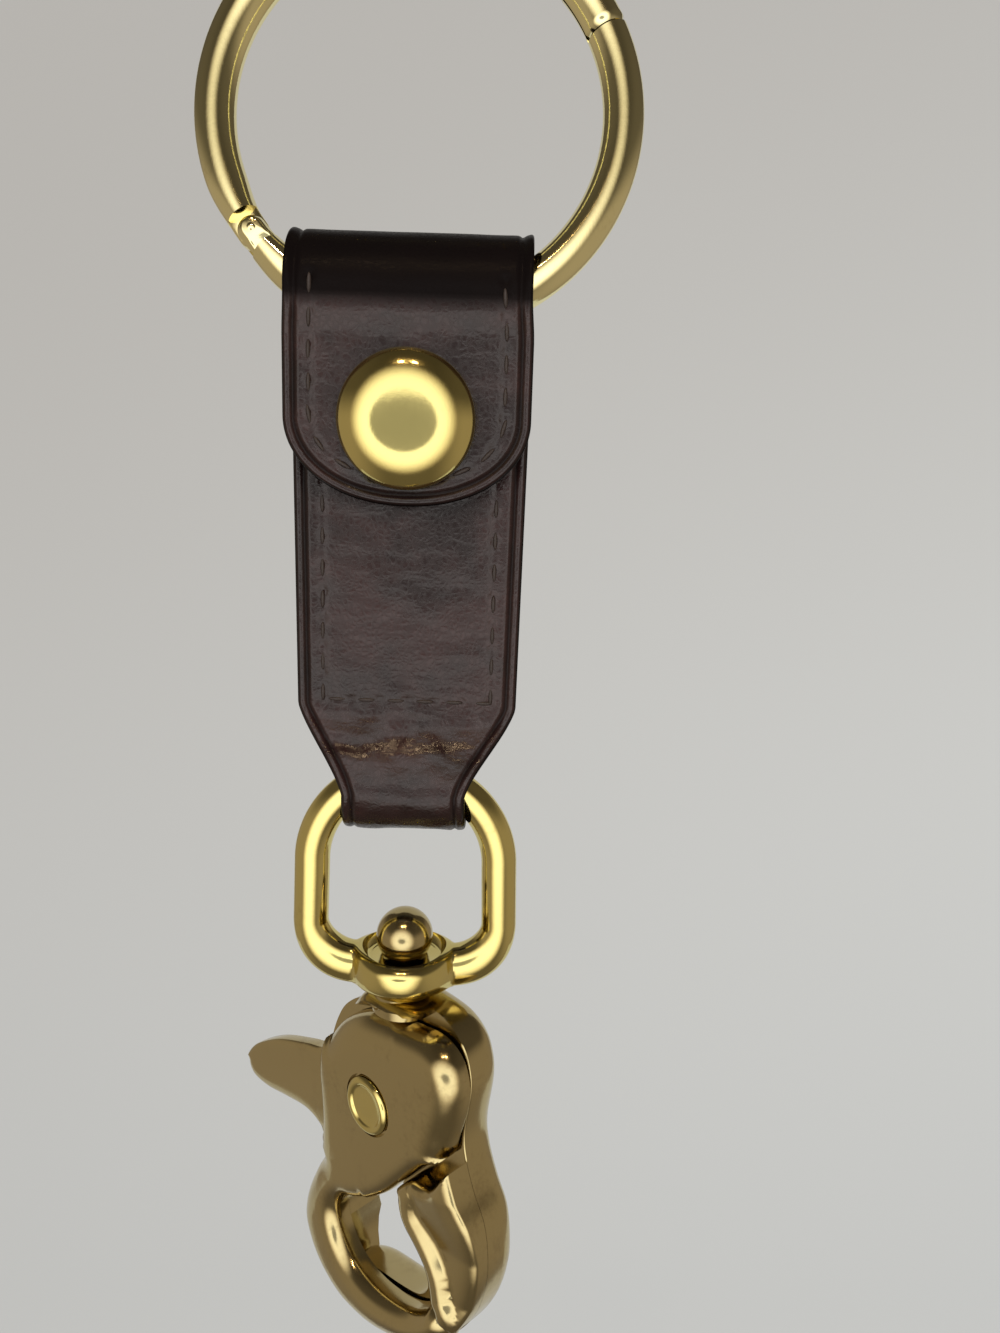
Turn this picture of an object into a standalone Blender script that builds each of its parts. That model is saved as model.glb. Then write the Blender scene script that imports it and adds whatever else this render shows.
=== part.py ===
"""Leather key holder that hangs from a hinged brass ring.

A folded leather strap carries the ring in its upper loop, which a press stud closes, and a
swivel eye in its lower loop. A scissor snap hook turns on a ball in the eye.

Metres, +Z up, front towards -Y. The origin is the inside top of the ring, where a hook or a
finger carries the whole piece.
"""
from math import acos, asin, cos, pi, radians, sin, sqrt

import bmesh
import bpy
from mathutils import Vector

# Ring: two half rings of round brass wire, hinged at lower left, lapped at upper right
RING_BORE = 0.0381
RING_WIRE = 0.0043
RING_LEAN = radians(12.0)
RING_HINGE_ANGLE = radians(218.0)
RING_CATCH_ANGLE = radians(34.0)
RING_LAP_LENGTH = 0.0068
HINGE_TONGUE = 0.0015
HINGE_PIN_RADIUS = 0.0007
HINGE_HEAD_RADIUS = 0.0012
HINGE_HEAD_HEIGHT = 0.0003
HINGE_FLAT = 0.0034
HINGE_FLAT_LENGTH = 0.0062
RING_STEP = radians(6.0)

# Leather: one strip runs up the front, round the eye, up the back and over the ring
STRAP_WIDTH = 0.0252
STRAP_TAPER = 0.0009
FOLD_PINCH = 0.0006
NECK_WIDTH = 0.0136
LOOP_WIDTH = 0.0138
STRAP_LENGTH = 0.0528
NECK_LENGTH = 0.0094
FRONT_TOP_DROP = 0.0088
FLAP_DROP = 0.0211
FLAP_ROUND = 0.0088
LEATHER = 0.0010
LINING = 0.0006
FILLER = 0.0008
LAYER_GAP = 0.0002
EDGE_ROUND = 0.0003
LOOP_MERGE = 0.0076
FILLER_TOP_DROP = 0.0107
FLAP_END_ANGLE = radians(84.0)

# Press stud: cap and socket in the flap, stud and post in the strap
STUD_DROP = 0.0124
CAP_RADIUS = 0.0070
CAP_HEIGHT = 0.0030
CAP_EDGE_HEIGHT = 0.0006
CAP_FLAT_RADIUS = 0.0036
SOCKET_RADIUS = 0.0050
SOCKET_CAVITY = 0.0030
STUD_BASE_RADIUS = 0.0048
STUD_KNOB_RADIUS = 0.0024
STUD_TIP_RADIUS = 0.0010
STUD_KNOB_HEIGHT = 0.0013
STUD_SPACING = 0.0024
FLANGE = 0.0005
POST_RADIUS = 0.0015
POST_HEAD_RADIUS = 0.0043

# Swivel eye: a brass bow with a dished boss in its bottom bar
EYE_ARCH_RADIUS = 0.0109
EYE_BAR = 0.0041
EYE_BASE_BAR = 0.0050
EYE_SIDE_DROP = 0.0128
EYE_SPREAD = 0.0002
EYE_CORNER = 0.0055
BOSS_RADIUS = 0.0060
BOSS_HEIGHT = 0.0046
BOSS_RIM = 0.0010
DISH_RADIUS = 0.0048
DISH_DEPTH = 0.0010
BALL_RISE = 0.0014

# Snap hook: two riveted halves, the fixed one on the swivel shank
HOOK_YAW = radians(43.0)
BALL_RADIUS = 0.00335
SHANK_RADIUS = 0.0018
NECK_FLANGE_RADIUS = 0.0038
RIVET_DROP = 0.0212
RIVET_OFFSET = 0.0012
OUTLINE_UNIT = 0.0100
HEAD_RADIUS = 0.0120
HEAD_CLEARANCE_RADIUS = 0.0130
HOOK_DROP = 0.0172
HOOK_OFFSET = 0.0006
HOOK_THICKNESS = 0.0092
HOOK_ROUNDING = 0.0017
HALF_ROUNDING = 0.0007
ROUNDING_DEPTH = 0.0026
HALF_ROUNDING_DEPTH = 0.0008
PART_DEPTH = 0.0009
LEFT_LAP_ANGLE = 226.0
RIGHT_LAP_ANGLE = 338.0
RIGHT_WALL_ANGLE = -14.0
LEVER_RECESS = 0.0015
RIVET_RADIUS = 0.0022
RIVET_HEAD_RADIUS = 0.0039
RIVET_HEAD_HEIGHT = 0.0009
RIVET_SINK = 0.0005
RIVET_DIMPLE_RADIUS = 0.0021
SPRING_WIRE = 0.0008
SPRING_RADIUS = 0.0042
SPRING_PITCH = 0.0013
SPRING_TURNS = 2.5
POCKET_RADIUS = 0.0062
POCKET_DEPTH = 0.0023

# Clearances shared by all pieces
GAP = 0.0003
RUNNING = 0.00025
OVERRUN = 0.0010
MERGE_DISTANCE = 0.000001

ROUND_STEPS = 28
WIRE_SIDES = 12
TURN_STEPS = 14
EASE_STEPS = 8
FLAT_STEPS = 6
CORNER_STEPS = 5
ARCH_STEPS = 16


def clear_scene():
    for item in list(bpy.data.objects):
        bpy.data.objects.remove(item, do_unlink=True)


def finish_material(name, colour, metallic, roughness):
    material = bpy.data.materials.new(name)
    material.use_nodes = True
    shader = material.node_tree.nodes["Principled BSDF"]
    shader.inputs["Base Color"].default_value = (*colour, 1.0)
    shader.inputs["Metallic"].default_value = metallic
    shader.inputs["Roughness"].default_value = roughness
    material.diffuse_color = (*colour, 1.0)
    return material


def axis_empty(name, location, parent=None, turn=(0.0, 0.0, 0.0)):
    empty = bpy.data.objects.new(name, None)
    empty.location = location
    empty.rotation_euler = turn
    empty.parent = parent
    bpy.context.collection.objects.link(empty)
    return empty


def mesh_object(name, bm, parent, material=None):
    """Link the mesh as an object; one without a material is a cutter and stays hidden."""
    bmesh.ops.recalc_face_normals(bm, faces=bm.faces)
    mesh = bpy.data.meshes.new(name)
    bm.to_mesh(mesh)
    bm.free()
    item = bpy.data.objects.new(name, mesh)
    item.parent = parent
    bpy.context.collection.objects.link(item)
    if material is None:
        item.hide_render = True
        item.display_type = "WIRE"
    else:
        mesh.materials.append(material)
        mesh.shade_smooth()
        mesh.set_sharp_from_angle(angle=radians(35.0))
    return item


def combine(target, tool, operation):
    modifier = target.modifiers.new(tool.name, "BOOLEAN")
    modifier.operation = operation
    modifier.solver = "EXACT"
    modifier.object = tool


def loft(loops, closed=False):
    """Skin a row of equal loops; an open row gets a face on each end."""
    bm = bmesh.new()
    rows = [[bm.verts.new(point) for point in loop] for loop in loops]
    pairs = list(zip(rows, rows[1:]))
    if closed:
        pairs.append((rows[-1], rows[0]))
    for lower, upper in pairs:
        for i in range(len(lower)):
            j = (i + 1) % len(lower)
            bm.faces.new((lower[i], lower[j], upper[j], upper[i]))
    if not closed:
        bm.faces.new(rows[0])
        bm.faces.new(rows[-1])
    return bm


def turned(profile, axis="Z", steps=ROUND_STEPS):
    """Turn a closed or axis-to-axis profile of (radius, height) about Z or the front axis -Y."""
    bm = bmesh.new()
    points = []
    for radius, height in profile:
        place = (radius, 0.0, height) if axis == "Z" else (radius, -height, 0.0)
        points.append(bm.verts.new(place))
    on_axis = profile[0][0] == 0.0 and profile[-1][0] == 0.0
    edges = [bm.edges.new(pair) for pair in zip(points, points[1:])]
    if not on_axis:
        edges.append(bm.edges.new((points[-1], points[0])))
    direction = (0.0, 0.0, 1.0) if axis == "Z" else (0.0, 1.0, 0.0)
    bmesh.ops.spin(bm, geom=points + edges, cent=(0.0, 0.0, 0.0), axis=direction,
                   angle=2.0 * pi, steps=steps, use_merge=True)
    bmesh.ops.remove_doubles(bm, verts=bm.verts, dist=MERGE_DISTANCE)
    return bm


def ellipse_loop(centre, across, beside, radius_across, radius_beside, sides=WIRE_SIDES):
    loop = []
    for k in range(sides):
        angle = 2.0 * pi * (k + 0.5) / sides
        loop.append(centre + across * (radius_across * cos(angle))
                    + beside * (radius_beside * sin(angle)))
    return loop


def smooth_closed(points, steps=3):
    """Closed Catmull-Rom curve through the given points."""
    count = len(points)
    curve = []
    for i in range(count):
        before, start, end, after = (points[(i + k) % count] for k in (-1, 0, 1, 2))
        for k in range(steps):
            t = k / steps
            curve.append(0.5 * (2.0 * start + (end - before) * t
                                + (2.0 * before - 5.0 * start + 4.0 * end - after) * t * t
                                + (3.0 * start - before - 3.0 * end + after) * t ** 3))
    return curve


def inset(outline, distance):
    """Move each corner of a counter-clockwise outline inwards along its normal."""
    moved = []
    count = len(outline)
    for i in range(count):
        tangent = (outline[(i + 1) % count] - outline[i - 1]).normalized()
        moved.append(outline[i] + Vector((-tangent.y, tangent.x)) * distance)
    return moved


def cushion(outline, levels):
    """Stack insets of an outline in the XZ plane; a level is (distance to the front, inset)."""
    loops = []
    for front, distance in levels:
        loops.append([Vector((p.x, -front, p.y)) for p in inset(outline, distance)])
    return loft(loops)


def slab(outline, back, front):
    return cushion(outline, [(back, 0.0), (front, 0.0)])


def ease(t):
    t = min(max(t, 0.0), 1.0)
    return t * t * (3.0 - 2.0 * t)


# Ring sizes that follow from the driving sizes
wire_radius = RING_WIRE / 2.0
ring_radius = RING_BORE / 2.0 + wire_radius
fold_half = (STRAP_WIDTH - FOLD_PINCH) / 2.0
shoulder_drop = STRAP_LENGTH - NECK_LENGTH
low_width = STRAP_WIDTH - STRAP_TAPER
fold_drop = sqrt(ring_radius ** 2 - fold_half ** 2)
fold_slant = asin(fold_half / ring_radius)
swing_drop = (fold_drop + ring_radius) / 2.0
loop_radius = (ring_radius - fold_drop) / 2.0 + wire_radius / cos(fold_slant) + RUNNING

# Eye sizes that follow from the driving sizes
bar_radius = EYE_BAR / 2.0
loop_half = LOOP_WIDTH / 2.0
arch_drop = sqrt(EYE_ARCH_RADIUS ** 2 - loop_half ** 2)
arch_slant = asin(loop_half / EYE_ARCH_RADIUS)
eye_pivot_rise = (arch_drop + EYE_ARCH_RADIUS) / 2.0
low_loop_radius = (EYE_ARCH_RADIUS - arch_drop) / 2.0 + bar_radius / cos(arch_slant) + RUNNING

# Depths of the leather layers, measured from the middle of the strap
half_filler = FILLER / 2.0
strap_mid = half_filler + LAYER_GAP + LEATHER / 2.0
strap_face = half_filler + LAYER_GAP + LEATHER
lining_face = strap_face + STUD_SPACING
flap_mid = lining_face + LINING + LAYER_GAP + LEATHER / 2.0
flap_face = lining_face + LINING + LAYER_GAP + LEATHER
fold_mid = loop_radius + LINING + LAYER_GAP + LEATHER / 2.0
fold_face = loop_radius + LINING + LAYER_GAP + LEATHER
lining_mid = LINING / 2.0

clear_scene()
brass = finish_material("polished_brass", (0.60, 0.47, 0.16), 1.0, 0.22)
worn_brass = finish_material("worn_brass", (0.38, 0.28, 0.13), 1.0, 0.32)
leather = finish_material("brown_leather", (0.055, 0.030, 0.026), 0.0, 0.42)
lining_leather = finish_material("lining_leather", (0.075, 0.045, 0.036), 0.0, 0.6)
spring_steel = finish_material("spring_steel", (0.45, 0.44, 0.42), 1.0, 0.35)

ring_centre = (0.0, -RING_BORE / 2.0 * sin(RING_LEAN), -RING_BORE / 2.0 * cos(RING_LEAN))
ring_frame = axis_empty("ring_frame", ring_centre, turn=(-RING_LEAN, 0.0, 0.0))
hinge_place = Vector((ring_radius * cos(RING_HINGE_ANGLE), 0.0, ring_radius * sin(RING_HINGE_ANGLE)))
ring_hinge = axis_empty("ring_hinge", hinge_place, ring_frame)
swing_place = (0.0, ring_centre[1] - swing_drop * sin(RING_LEAN),
               ring_centre[2] - swing_drop * cos(RING_LEAN))
strap_pivot = axis_empty("strap_pivot", swing_place)
flap_hinge = axis_empty("flap_hinge", (0.0, fold_face, 0.0), strap_pivot)
eye_pivot = axis_empty("eye_pivot", (0.0, 0.0, -STRAP_LENGTH), strap_pivot)


def ring_point(angle):
    return Vector((ring_radius * cos(angle), 0.0, ring_radius * sin(angle)))


def ring_wire(start, end, flat_at=None):
    """Round wire along the ring; it thins across the ring towards the hinge."""
    steps = max(2, round(abs(end - start) / RING_STEP))
    loops = []
    for k in range(steps + 1):
        angle = start + (end - start) * k / steps
        outward = Vector((cos(angle), 0.0, sin(angle)))
        thin = wire_radius
        if flat_at is not None:
            nearness = 1.0 - abs(flat_at - angle) * ring_radius / HINGE_FLAT_LENGTH
            thin += (HINGE_FLAT / 2.0 - wire_radius) * ease(nearness)
        beside = Vector((0.0, 1.0, 0.0))
        loops.append(ellipse_loop(ring_point(angle), outward, beside, thin, wire_radius))
    return loft(loops)


def knuckle(direction, back, front):
    """Plate that is round about the hinge pin and runs into the wire along the ring."""
    reach = HINGE_FLAT + OVERRUN
    half = HINGE_FLAT / 2.0
    outline = []
    for k in range(EASE_STEPS + 1):
        angle = RING_HINGE_ANGLE + direction * pi * (k / EASE_STEPS - 1.0)
        outline.append(Vector((half * cos(angle), half * sin(angle))))
    along = Vector((-sin(RING_HINGE_ANGLE), cos(RING_HINGE_ANGLE))) * direction
    bend = reach * reach / (2.0 * ring_radius)
    inward = Vector((-cos(RING_HINGE_ANGLE), -sin(RING_HINGE_ANGLE))) * bend
    outline.append(outline[-1] + along * reach + inward)
    outline.append(outline[0] + along * reach + inward)
    if direction < 0.0:
        outline.reverse()
    return slab(outline, back, front)


hinge_reach = (HINGE_FLAT / 2.0 + GAP) / ring_radius
half_lap = RING_LAP_LENGTH / 2.0 / ring_radius
lap_gap = GAP / ring_radius
full_turn = 2.0 * pi

upper_wire = ring_wire(RING_CATCH_ANGLE - half_lap + lap_gap, RING_HINGE_ANGLE - hinge_reach,
                       RING_HINGE_ANGLE)
ring_upper = mesh_object("ring_upper_half", upper_wire, ring_frame, brass)
lower_wire = ring_wire(RING_HINGE_ANGLE + hinge_reach,
                       RING_CATCH_ANGLE + full_turn + half_lap - lap_gap,
                       RING_HINGE_ANGLE)
for vert in lower_wire.verts:
    vert.co -= hinge_place
ring_lower = mesh_object("ring_lower_half", lower_wire, ring_hinge, brass)

tongue_face = HINGE_TONGUE / 2.0
tongue = mesh_object("hinge_tongue_join", knuckle(-1.0, -tongue_face, tongue_face), ring_hinge)
combine(ring_upper, tongue, "UNION")
fork_inner = tongue_face + LAYER_GAP
fork_outer = wire_radius - EDGE_ROUND
for side, name in ((1.0, "front"), (-1.0, "back")):
    faces = sorted((side * fork_inner, side * fork_outer))
    cheek = mesh_object(f"hinge_fork_{name}_join", knuckle(1.0, *faces), ring_hinge)
    combine(ring_lower, cheek, "UNION")


def lap_cutter(name, parent, shift, side, centre_sign):
    """Box that takes half the wire's thickness away over the catch lap."""
    middle = ring_point(RING_CATCH_ANGLE) + shift
    outward = Vector((cos(RING_CATCH_ANGLE), 0.0, sin(RING_CATCH_ANGLE)))
    along = Vector((-sin(RING_CATCH_ANGLE), 0.0, cos(RING_CATCH_ANGLE))) * centre_sign
    half_box = RING_WIRE
    loops = []
    for step in (-RING_LAP_LENGTH / 2.0 - RING_WIRE, RING_LAP_LENGTH / 2.0):
        base = middle + along * step
        near = Vector((0.0, -side * (RING_WIRE + GAP), 0.0))
        far = Vector((0.0, side * GAP / 2.0, 0.0))
        loops.append([base - outward * half_box + near, base + outward * half_box + near,
                      base + outward * half_box + far, base - outward * half_box + far])
    return mesh_object(name, loft(loops), parent)


upper_cut = lap_cutter("catch_cut_upper", ring_frame, Vector((0.0, 0.0, 0.0)), 1.0, 1.0)
combine(ring_upper, upper_cut, "DIFFERENCE")
lower_cut = lap_cutter("catch_cut_lower", ring_hinge, -hinge_place, -1.0, -1.0)
combine(ring_lower, lower_cut, "DIFFERENCE")

pin_bore_radius = HINGE_PIN_RADIUS + RUNNING
pin_half = fork_outer + GAP
bore_profile = [(0.0, -RING_WIRE), (pin_bore_radius, -RING_WIRE),
                (pin_bore_radius, RING_WIRE), (0.0, RING_WIRE)]
pin_bore = mesh_object("hinge_pin_bore", turned(bore_profile, "Y", 16), ring_hinge)
combine(ring_upper, pin_bore, "DIFFERENCE")
combine(ring_lower, pin_bore, "DIFFERENCE")
head_top = pin_half + HINGE_HEAD_HEIGHT
pin_profile = [(0.0, -head_top), (HINGE_HEAD_RADIUS, -pin_half - HINGE_HEAD_HEIGHT / 2.0),
               (HINGE_HEAD_RADIUS, -pin_half), (HINGE_PIN_RADIUS, -pin_half),
               (HINGE_PIN_RADIUS, pin_half), (HINGE_HEAD_RADIUS, pin_half),
               (HINGE_HEAD_RADIUS, pin_half + HINGE_HEAD_HEIGHT / 2.0), (0.0, head_top)]
mesh_object("ring_hinge_pin", turned(pin_profile, "Y", 16), ring_hinge, worn_brass)


def band(path, thickness):
    """Leather strip: path rows are (depth, height, half width) of the strip's middle."""
    loops = []
    count = len(path)
    for i, (depth, height, half_width) in enumerate(path):
        before = path[max(i - 1, 0)]
        after = path[min(i + 1, count - 1)]
        run = Vector((after[0] - before[0], after[1] - before[1])).normalized()
        side = Vector((0.0, run.y, -run.x)) * (thickness / 2.0)
        middle = Vector((0.0, depth, height))
        inner_share = 1.0 - 2.0 * EDGE_ROUND / thickness
        reach = Vector((half_width, 0.0, 0.0))
        shy = Vector((half_width - min(EDGE_ROUND, half_width / 2.0), 0.0, 0.0))
        loops.append([middle - shy + side, middle - reach + side * inner_share,
                      middle - reach - side * inner_share, middle - shy - side,
                      middle + shy - side, middle + reach - side * inner_share,
                      middle + reach + side * inner_share, middle + shy + side])
    return loft(loops)


def strap_half_width(height):
    """Half width of the strap at a height below the swing axis."""
    drop = -height
    if drop <= shoulder_drop:
        return (STRAP_WIDTH - STRAP_TAPER * drop / shoulder_drop) / 2.0
    share = min((drop - shoulder_drop) / NECK_LENGTH, 1.0)
    return (low_width + (NECK_WIDTH - low_width) * share) / 2.0


def straight_rows(depth, start, end, steps):
    return [(depth, start + (end - start) * k / steps) for k in range(steps + 1)]


def eased_rows(depth_start, depth_end, start, end, steps):
    return [(depth_start + (depth_end - depth_start) * ease(k / steps), start + (end - start) * k / steps)
            for k in range(steps + 1)]


low_mid = low_loop_radius + LEATHER / 2.0
strap_rows = straight_rows(-strap_mid, -FRONT_TOP_DROP, -shoulder_drop, FLAT_STEPS)
strap_rows += eased_rows(-strap_mid, -low_mid, -shoulder_drop, -STRAP_LENGTH, EASE_STEPS)[1:]
for k in range(1, TURN_STEPS):
    angle = pi * k / TURN_STEPS
    strap_rows.append((-low_mid * cos(angle), -STRAP_LENGTH - low_mid * sin(angle)))
strap_rows += eased_rows(low_mid, strap_mid, -STRAP_LENGTH, -shoulder_drop, EASE_STEPS)
strap_rows += straight_rows(strap_mid, -shoulder_drop, -LOOP_MERGE, FLAT_STEPS)[1:]
strap_rows += eased_rows(strap_mid, fold_mid, -LOOP_MERGE, -GAP, EASE_STEPS)[1:]
strap_path = []
for depth, height in strap_rows:
    half_width = strap_half_width(height)
    if height < -STRAP_LENGTH:
        half_width += (LOOP_WIDTH - NECK_WIDTH) / 2.0 * min((-STRAP_LENGTH - height) / low_mid, 1.0)
    if height > -LOOP_MERGE and depth > 0.0:
        half_width -= FOLD_PINCH / 2.0 * (1.0 + height / LOOP_MERGE)
    strap_path.append((depth, height, half_width))
strap = mesh_object("strap_leather", band(strap_path, LEATHER), strap_pivot, leather)

filler_rows = straight_rows(0.0, -FILLER_TOP_DROP, -shoulder_drop, FLAT_STEPS)
filler_path = [(depth, height, strap_half_width(height) - GAP) for depth, height in filler_rows]
filler = mesh_object("strap_filler", band(filler_path, FILLER), strap_pivot, lining_leather)


def flap_rows(radius, depth_low, tip_drop, tip_round, half_top, half_flap):
    """Rows of one flap layer: over the fold from the back, down the front, round end."""
    rows = []
    for k in range(TURN_STEPS + 1):
        angle = pi * k / TURN_STEPS
        rows.append((radius * cos(angle), radius * sin(angle), half_top))
    for k in range(1, CORNER_STEPS):
        share = k / (CORNER_STEPS - 1.0)
        depth = -radius + (radius - depth_low) * ease(share)
        rows.append((depth, -loop_radius * share, half_top + (half_flap - half_top) * share))
    round_start = tip_drop - tip_round
    rows.append((-depth_low, -round_start, half_flap))
    for k in range(1, EASE_STEPS + 1):
        angle = FLAP_END_ANGLE * k / EASE_STEPS
        rows.append((-depth_low, -round_start - tip_round * sin(angle), half_flap * cos(angle)))
    return [(depth - fold_face, height, half) for depth, height, half in rows]


flap_rows_outer = flap_rows(fold_mid, flap_mid, FLAP_DROP, FLAP_ROUND, fold_half, STRAP_WIDTH / 2.0)
flap = mesh_object("flap_leather", band(flap_rows_outer, LEATHER), flap_hinge, leather)
lining_rows = flap_rows(loop_radius + lining_mid, lining_face + lining_mid, FLAP_DROP - GAP, FLAP_ROUND,
                        fold_half - GAP, STRAP_WIDTH / 2.0 - GAP)
flap_lining = mesh_object("flap_lining", band(lining_rows, LINING), flap_hinge, lining_leather)

# Press stud, turned about an axis that runs from front to back
stud_axis = axis_empty("stud_axis", (0.0, 0.0, -STUD_DROP), strap_pivot)
cap_axis = axis_empty("cap_axis", (0.0, -fold_face, -STUD_DROP), flap_hinge)
hole_radius = POST_RADIUS + GAP
deep = fold_face + OVERRUN
hole_profile = [(0.0, 0.0), (hole_radius, 0.0), (hole_radius, deep), (0.0, deep)]
flap_hole = mesh_object("cap_shank_hole", turned(hole_profile, "Y"), cap_axis)
combine(flap, flap_hole, "DIFFERENCE")
combine(flap_lining, flap_hole, "DIFFERENCE")
hole_end = lining_face - GAP
post_head = FLANGE - strap_face
post_floor = post_head + GAP / 2.0
post_seat = POST_HEAD_RADIUS + GAP
through_profile = [(0.0, -deep), (post_seat, -deep), (post_seat, post_floor), (hole_radius, post_floor),
                   (hole_radius, hole_end), (0.0, hole_end)]
strap_hole = mesh_object("post_hole", turned(through_profile, "Y"), stud_axis)
combine(strap, strap_hole, "DIFFERENCE")
combine(filler, strap_hole, "DIFFERENCE")

cap_base = flap_face + GAP / 2.0
cap_profile = [(0.0, lining_face + GAP), (POST_RADIUS, lining_face + GAP), (POST_RADIUS, cap_base),
               (CAP_RADIUS, cap_base)]
for k in range(EASE_STEPS + 1):
    angle = pi / 2.0 * k / EASE_STEPS
    radius = CAP_FLAT_RADIUS + (CAP_RADIUS - CAP_FLAT_RADIUS) * cos(angle)
    cap_profile.append((radius, cap_base + CAP_EDGE_HEIGHT + (CAP_HEIGHT - CAP_EDGE_HEIGHT) * sin(angle)))
cap_profile.append((0.0, cap_base + CAP_HEIGHT))
mesh_object("stud_cap", turned(cap_profile, "Y", 40), cap_axis, brass)

socket_top = lining_face - GAP / 2.0
socket_mouth = strap_face + FLANGE + GAP
socket_wall = (SOCKET_RADIUS + SOCKET_CAVITY) / 2.0
socket_profile = [(SOCKET_CAVITY, socket_mouth), (socket_wall, socket_mouth),
                  (socket_wall, socket_top - FLANGE),
                  (SOCKET_RADIUS, socket_top - FLANGE), (SOCKET_RADIUS, socket_top),
                  (SOCKET_CAVITY, socket_top)]
mesh_object("stud_socket", turned(socket_profile, "Y"), cap_axis, brass)

stud_base = strap_face + GAP / 2.0
knob_top = stud_base + FLANGE / 2.0 + STUD_KNOB_HEIGHT
stud_profile = [(0.0, stud_base + FLANGE), (hole_radius, stud_base + FLANGE), (hole_radius, stud_base)]
stud_profile += [(STUD_BASE_RADIUS, stud_base), (STUD_BASE_RADIUS, stud_base + FLANGE / 2.0),
                 (STUD_KNOB_RADIUS, stud_base + FLANGE / 2.0),
                 (STUD_KNOB_RADIUS - FLANGE / 2.0, knob_top - FLANGE),
                 (STUD_TIP_RADIUS, knob_top), (0.0, knob_top)]
mesh_object("stud_base", turned(stud_profile, "Y"), stud_axis, brass)

post_profile = [(0.0, post_head - FLANGE), (POST_HEAD_RADIUS - FLANGE, post_head - FLANGE),
                (POST_HEAD_RADIUS, post_head - FLANGE / 2.0), (POST_HEAD_RADIUS, post_head),
                (POST_RADIUS, post_head), (POST_RADIUS, stud_base + FLANGE / 2.0),
                (0.0, stud_base + FLANGE / 2.0)]
mesh_object("stud_post", turned(post_profile, "Y"), stud_axis, brass)

# Swivel eye, drawn about the top of its bow where the leather carries it
arch_z = -eye_pivot_rise
bottom_z = arch_z - EYE_SIDE_DROP
eye_half = EYE_ARCH_RADIUS + EYE_SPREAD
bar_shares = (0.6, 0.2, -0.2, -0.6)


def eye_path():
    """Closed middle line of the eye: arch, sides, lower corners and bottom bar."""
    points = []
    for k in range(ARCH_STEPS + 1):
        angle = pi * k / ARCH_STEPS
        points.append(Vector((EYE_ARCH_RADIUS * cos(angle), 0.0, arch_z + EYE_ARCH_RADIUS * sin(angle))))
    corner_z = bottom_z + EYE_CORNER
    corner_x = eye_half - EYE_CORNER
    points.append(Vector((-eye_half, 0.0, (arch_z + corner_z) / 2.0)))
    for k in range(CORNER_STEPS + 1):
        angle = pi + pi / 2.0 * k / CORNER_STEPS
        points.append(Vector((EYE_CORNER * cos(angle) - corner_x, 0.0,
                              EYE_CORNER * sin(angle) + corner_z)))
    for share in bar_shares:
        points.append(Vector((-corner_x * share, 0.0, bottom_z)))
    for k in range(CORNER_STEPS + 1):
        angle = -pi / 2.0 + pi / 2.0 * k / CORNER_STEPS
        points.append(Vector((EYE_CORNER * cos(angle) + corner_x, 0.0,
                              EYE_CORNER * sin(angle) + corner_z)))
    points.append(Vector((eye_half, 0.0, (arch_z + corner_z) / 2.0)))
    return points


def bar_depth(height):
    """In-plane half thickness of the eye's bar, which grows towards the bottom."""
    share = ease((bottom_z + EYE_CORNER - height) / EYE_CORNER)
    return bar_radius + (EYE_BASE_BAR / 2.0 - bar_radius) * share


def closed_tube(points):
    loops = []
    count = len(points)
    for i, point in enumerate(points):
        tangent = (points[(i + 1) % count] - points[i - 1]).normalized()
        across = Vector((-tangent.z, 0.0, tangent.x))
        loops.append(ellipse_loop(point, across, Vector((0.0, 1.0, 0.0)), bar_depth(point.z), bar_radius))
    return loft(loops, closed=True)


eye = mesh_object("swivel_eye", closed_tube(eye_path()), eye_pivot, brass)
boss_top = bottom_z + EYE_BASE_BAR / 2.0 - GAP
boss_low = boss_top - BOSS_HEIGHT
boss_profile = [(0.0, boss_low), (BOSS_RADIUS - 2.0 * BOSS_RIM, boss_low),
                (BOSS_RADIUS - BOSS_RIM / 2.0, boss_low + BOSS_RIM),
                (BOSS_RADIUS, boss_low + 2.0 * BOSS_RIM), (BOSS_RADIUS, boss_top - BOSS_RIM),
                (BOSS_RADIUS - BOSS_RIM / 3.0, boss_top - BOSS_RIM / 3.0),
                (BOSS_RADIUS - BOSS_RIM, boss_top),
                (0.0, boss_top)]
boss = mesh_object("eye_boss_join", turned(boss_profile, "Z", 36), eye_pivot)
combine(eye, boss, "UNION")
ball_z = boss_top + BALL_RISE
bore_radius = SHANK_RADIUS + RUNNING
seat_radius = BALL_RADIUS + RUNNING
seat_angle = acos(bore_radius / seat_radius)
seat_z = ball_z - seat_radius * sin(seat_angle)
dish_high = boss_top + OVERRUN
dish_profile = [(0.0, boss_low - OVERRUN), (bore_radius, boss_low - OVERRUN), (bore_radius, seat_z)]
seat_shares = (0.93, 0.86)
for share in seat_shares:
    angle = -seat_angle * share
    dish_profile.append((seat_radius * cos(angle), ball_z + seat_radius * sin(angle)))
dish_profile += [(DISH_RADIUS, boss_top - DISH_DEPTH), (DISH_RADIUS, dish_high), (0.0, dish_high)]
dish = mesh_object("eye_dish_cut", turned(dish_profile, "Z", 36), eye_pivot)
combine(eye, dish, "DIFFERENCE")

# Snap hook, drawn about the ball; its outlines are drawn about the rivet
swivel_axis = axis_empty("swivel_axis", (0.0, 0.0, ball_z), eye_pivot, turn=(0.0, 0.0, -HOOK_YAW))
rivet_axis = axis_empty("rivet_axis", (-RIVET_OFFSET, 0.0, -RIVET_DROP), swivel_axis)
half_thick = HOOK_THICKNESS / 2.0


def on_head(degrees, radius):
    angle = radians(degrees)
    return Vector((radius * cos(angle), radius * sin(angle)))


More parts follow.
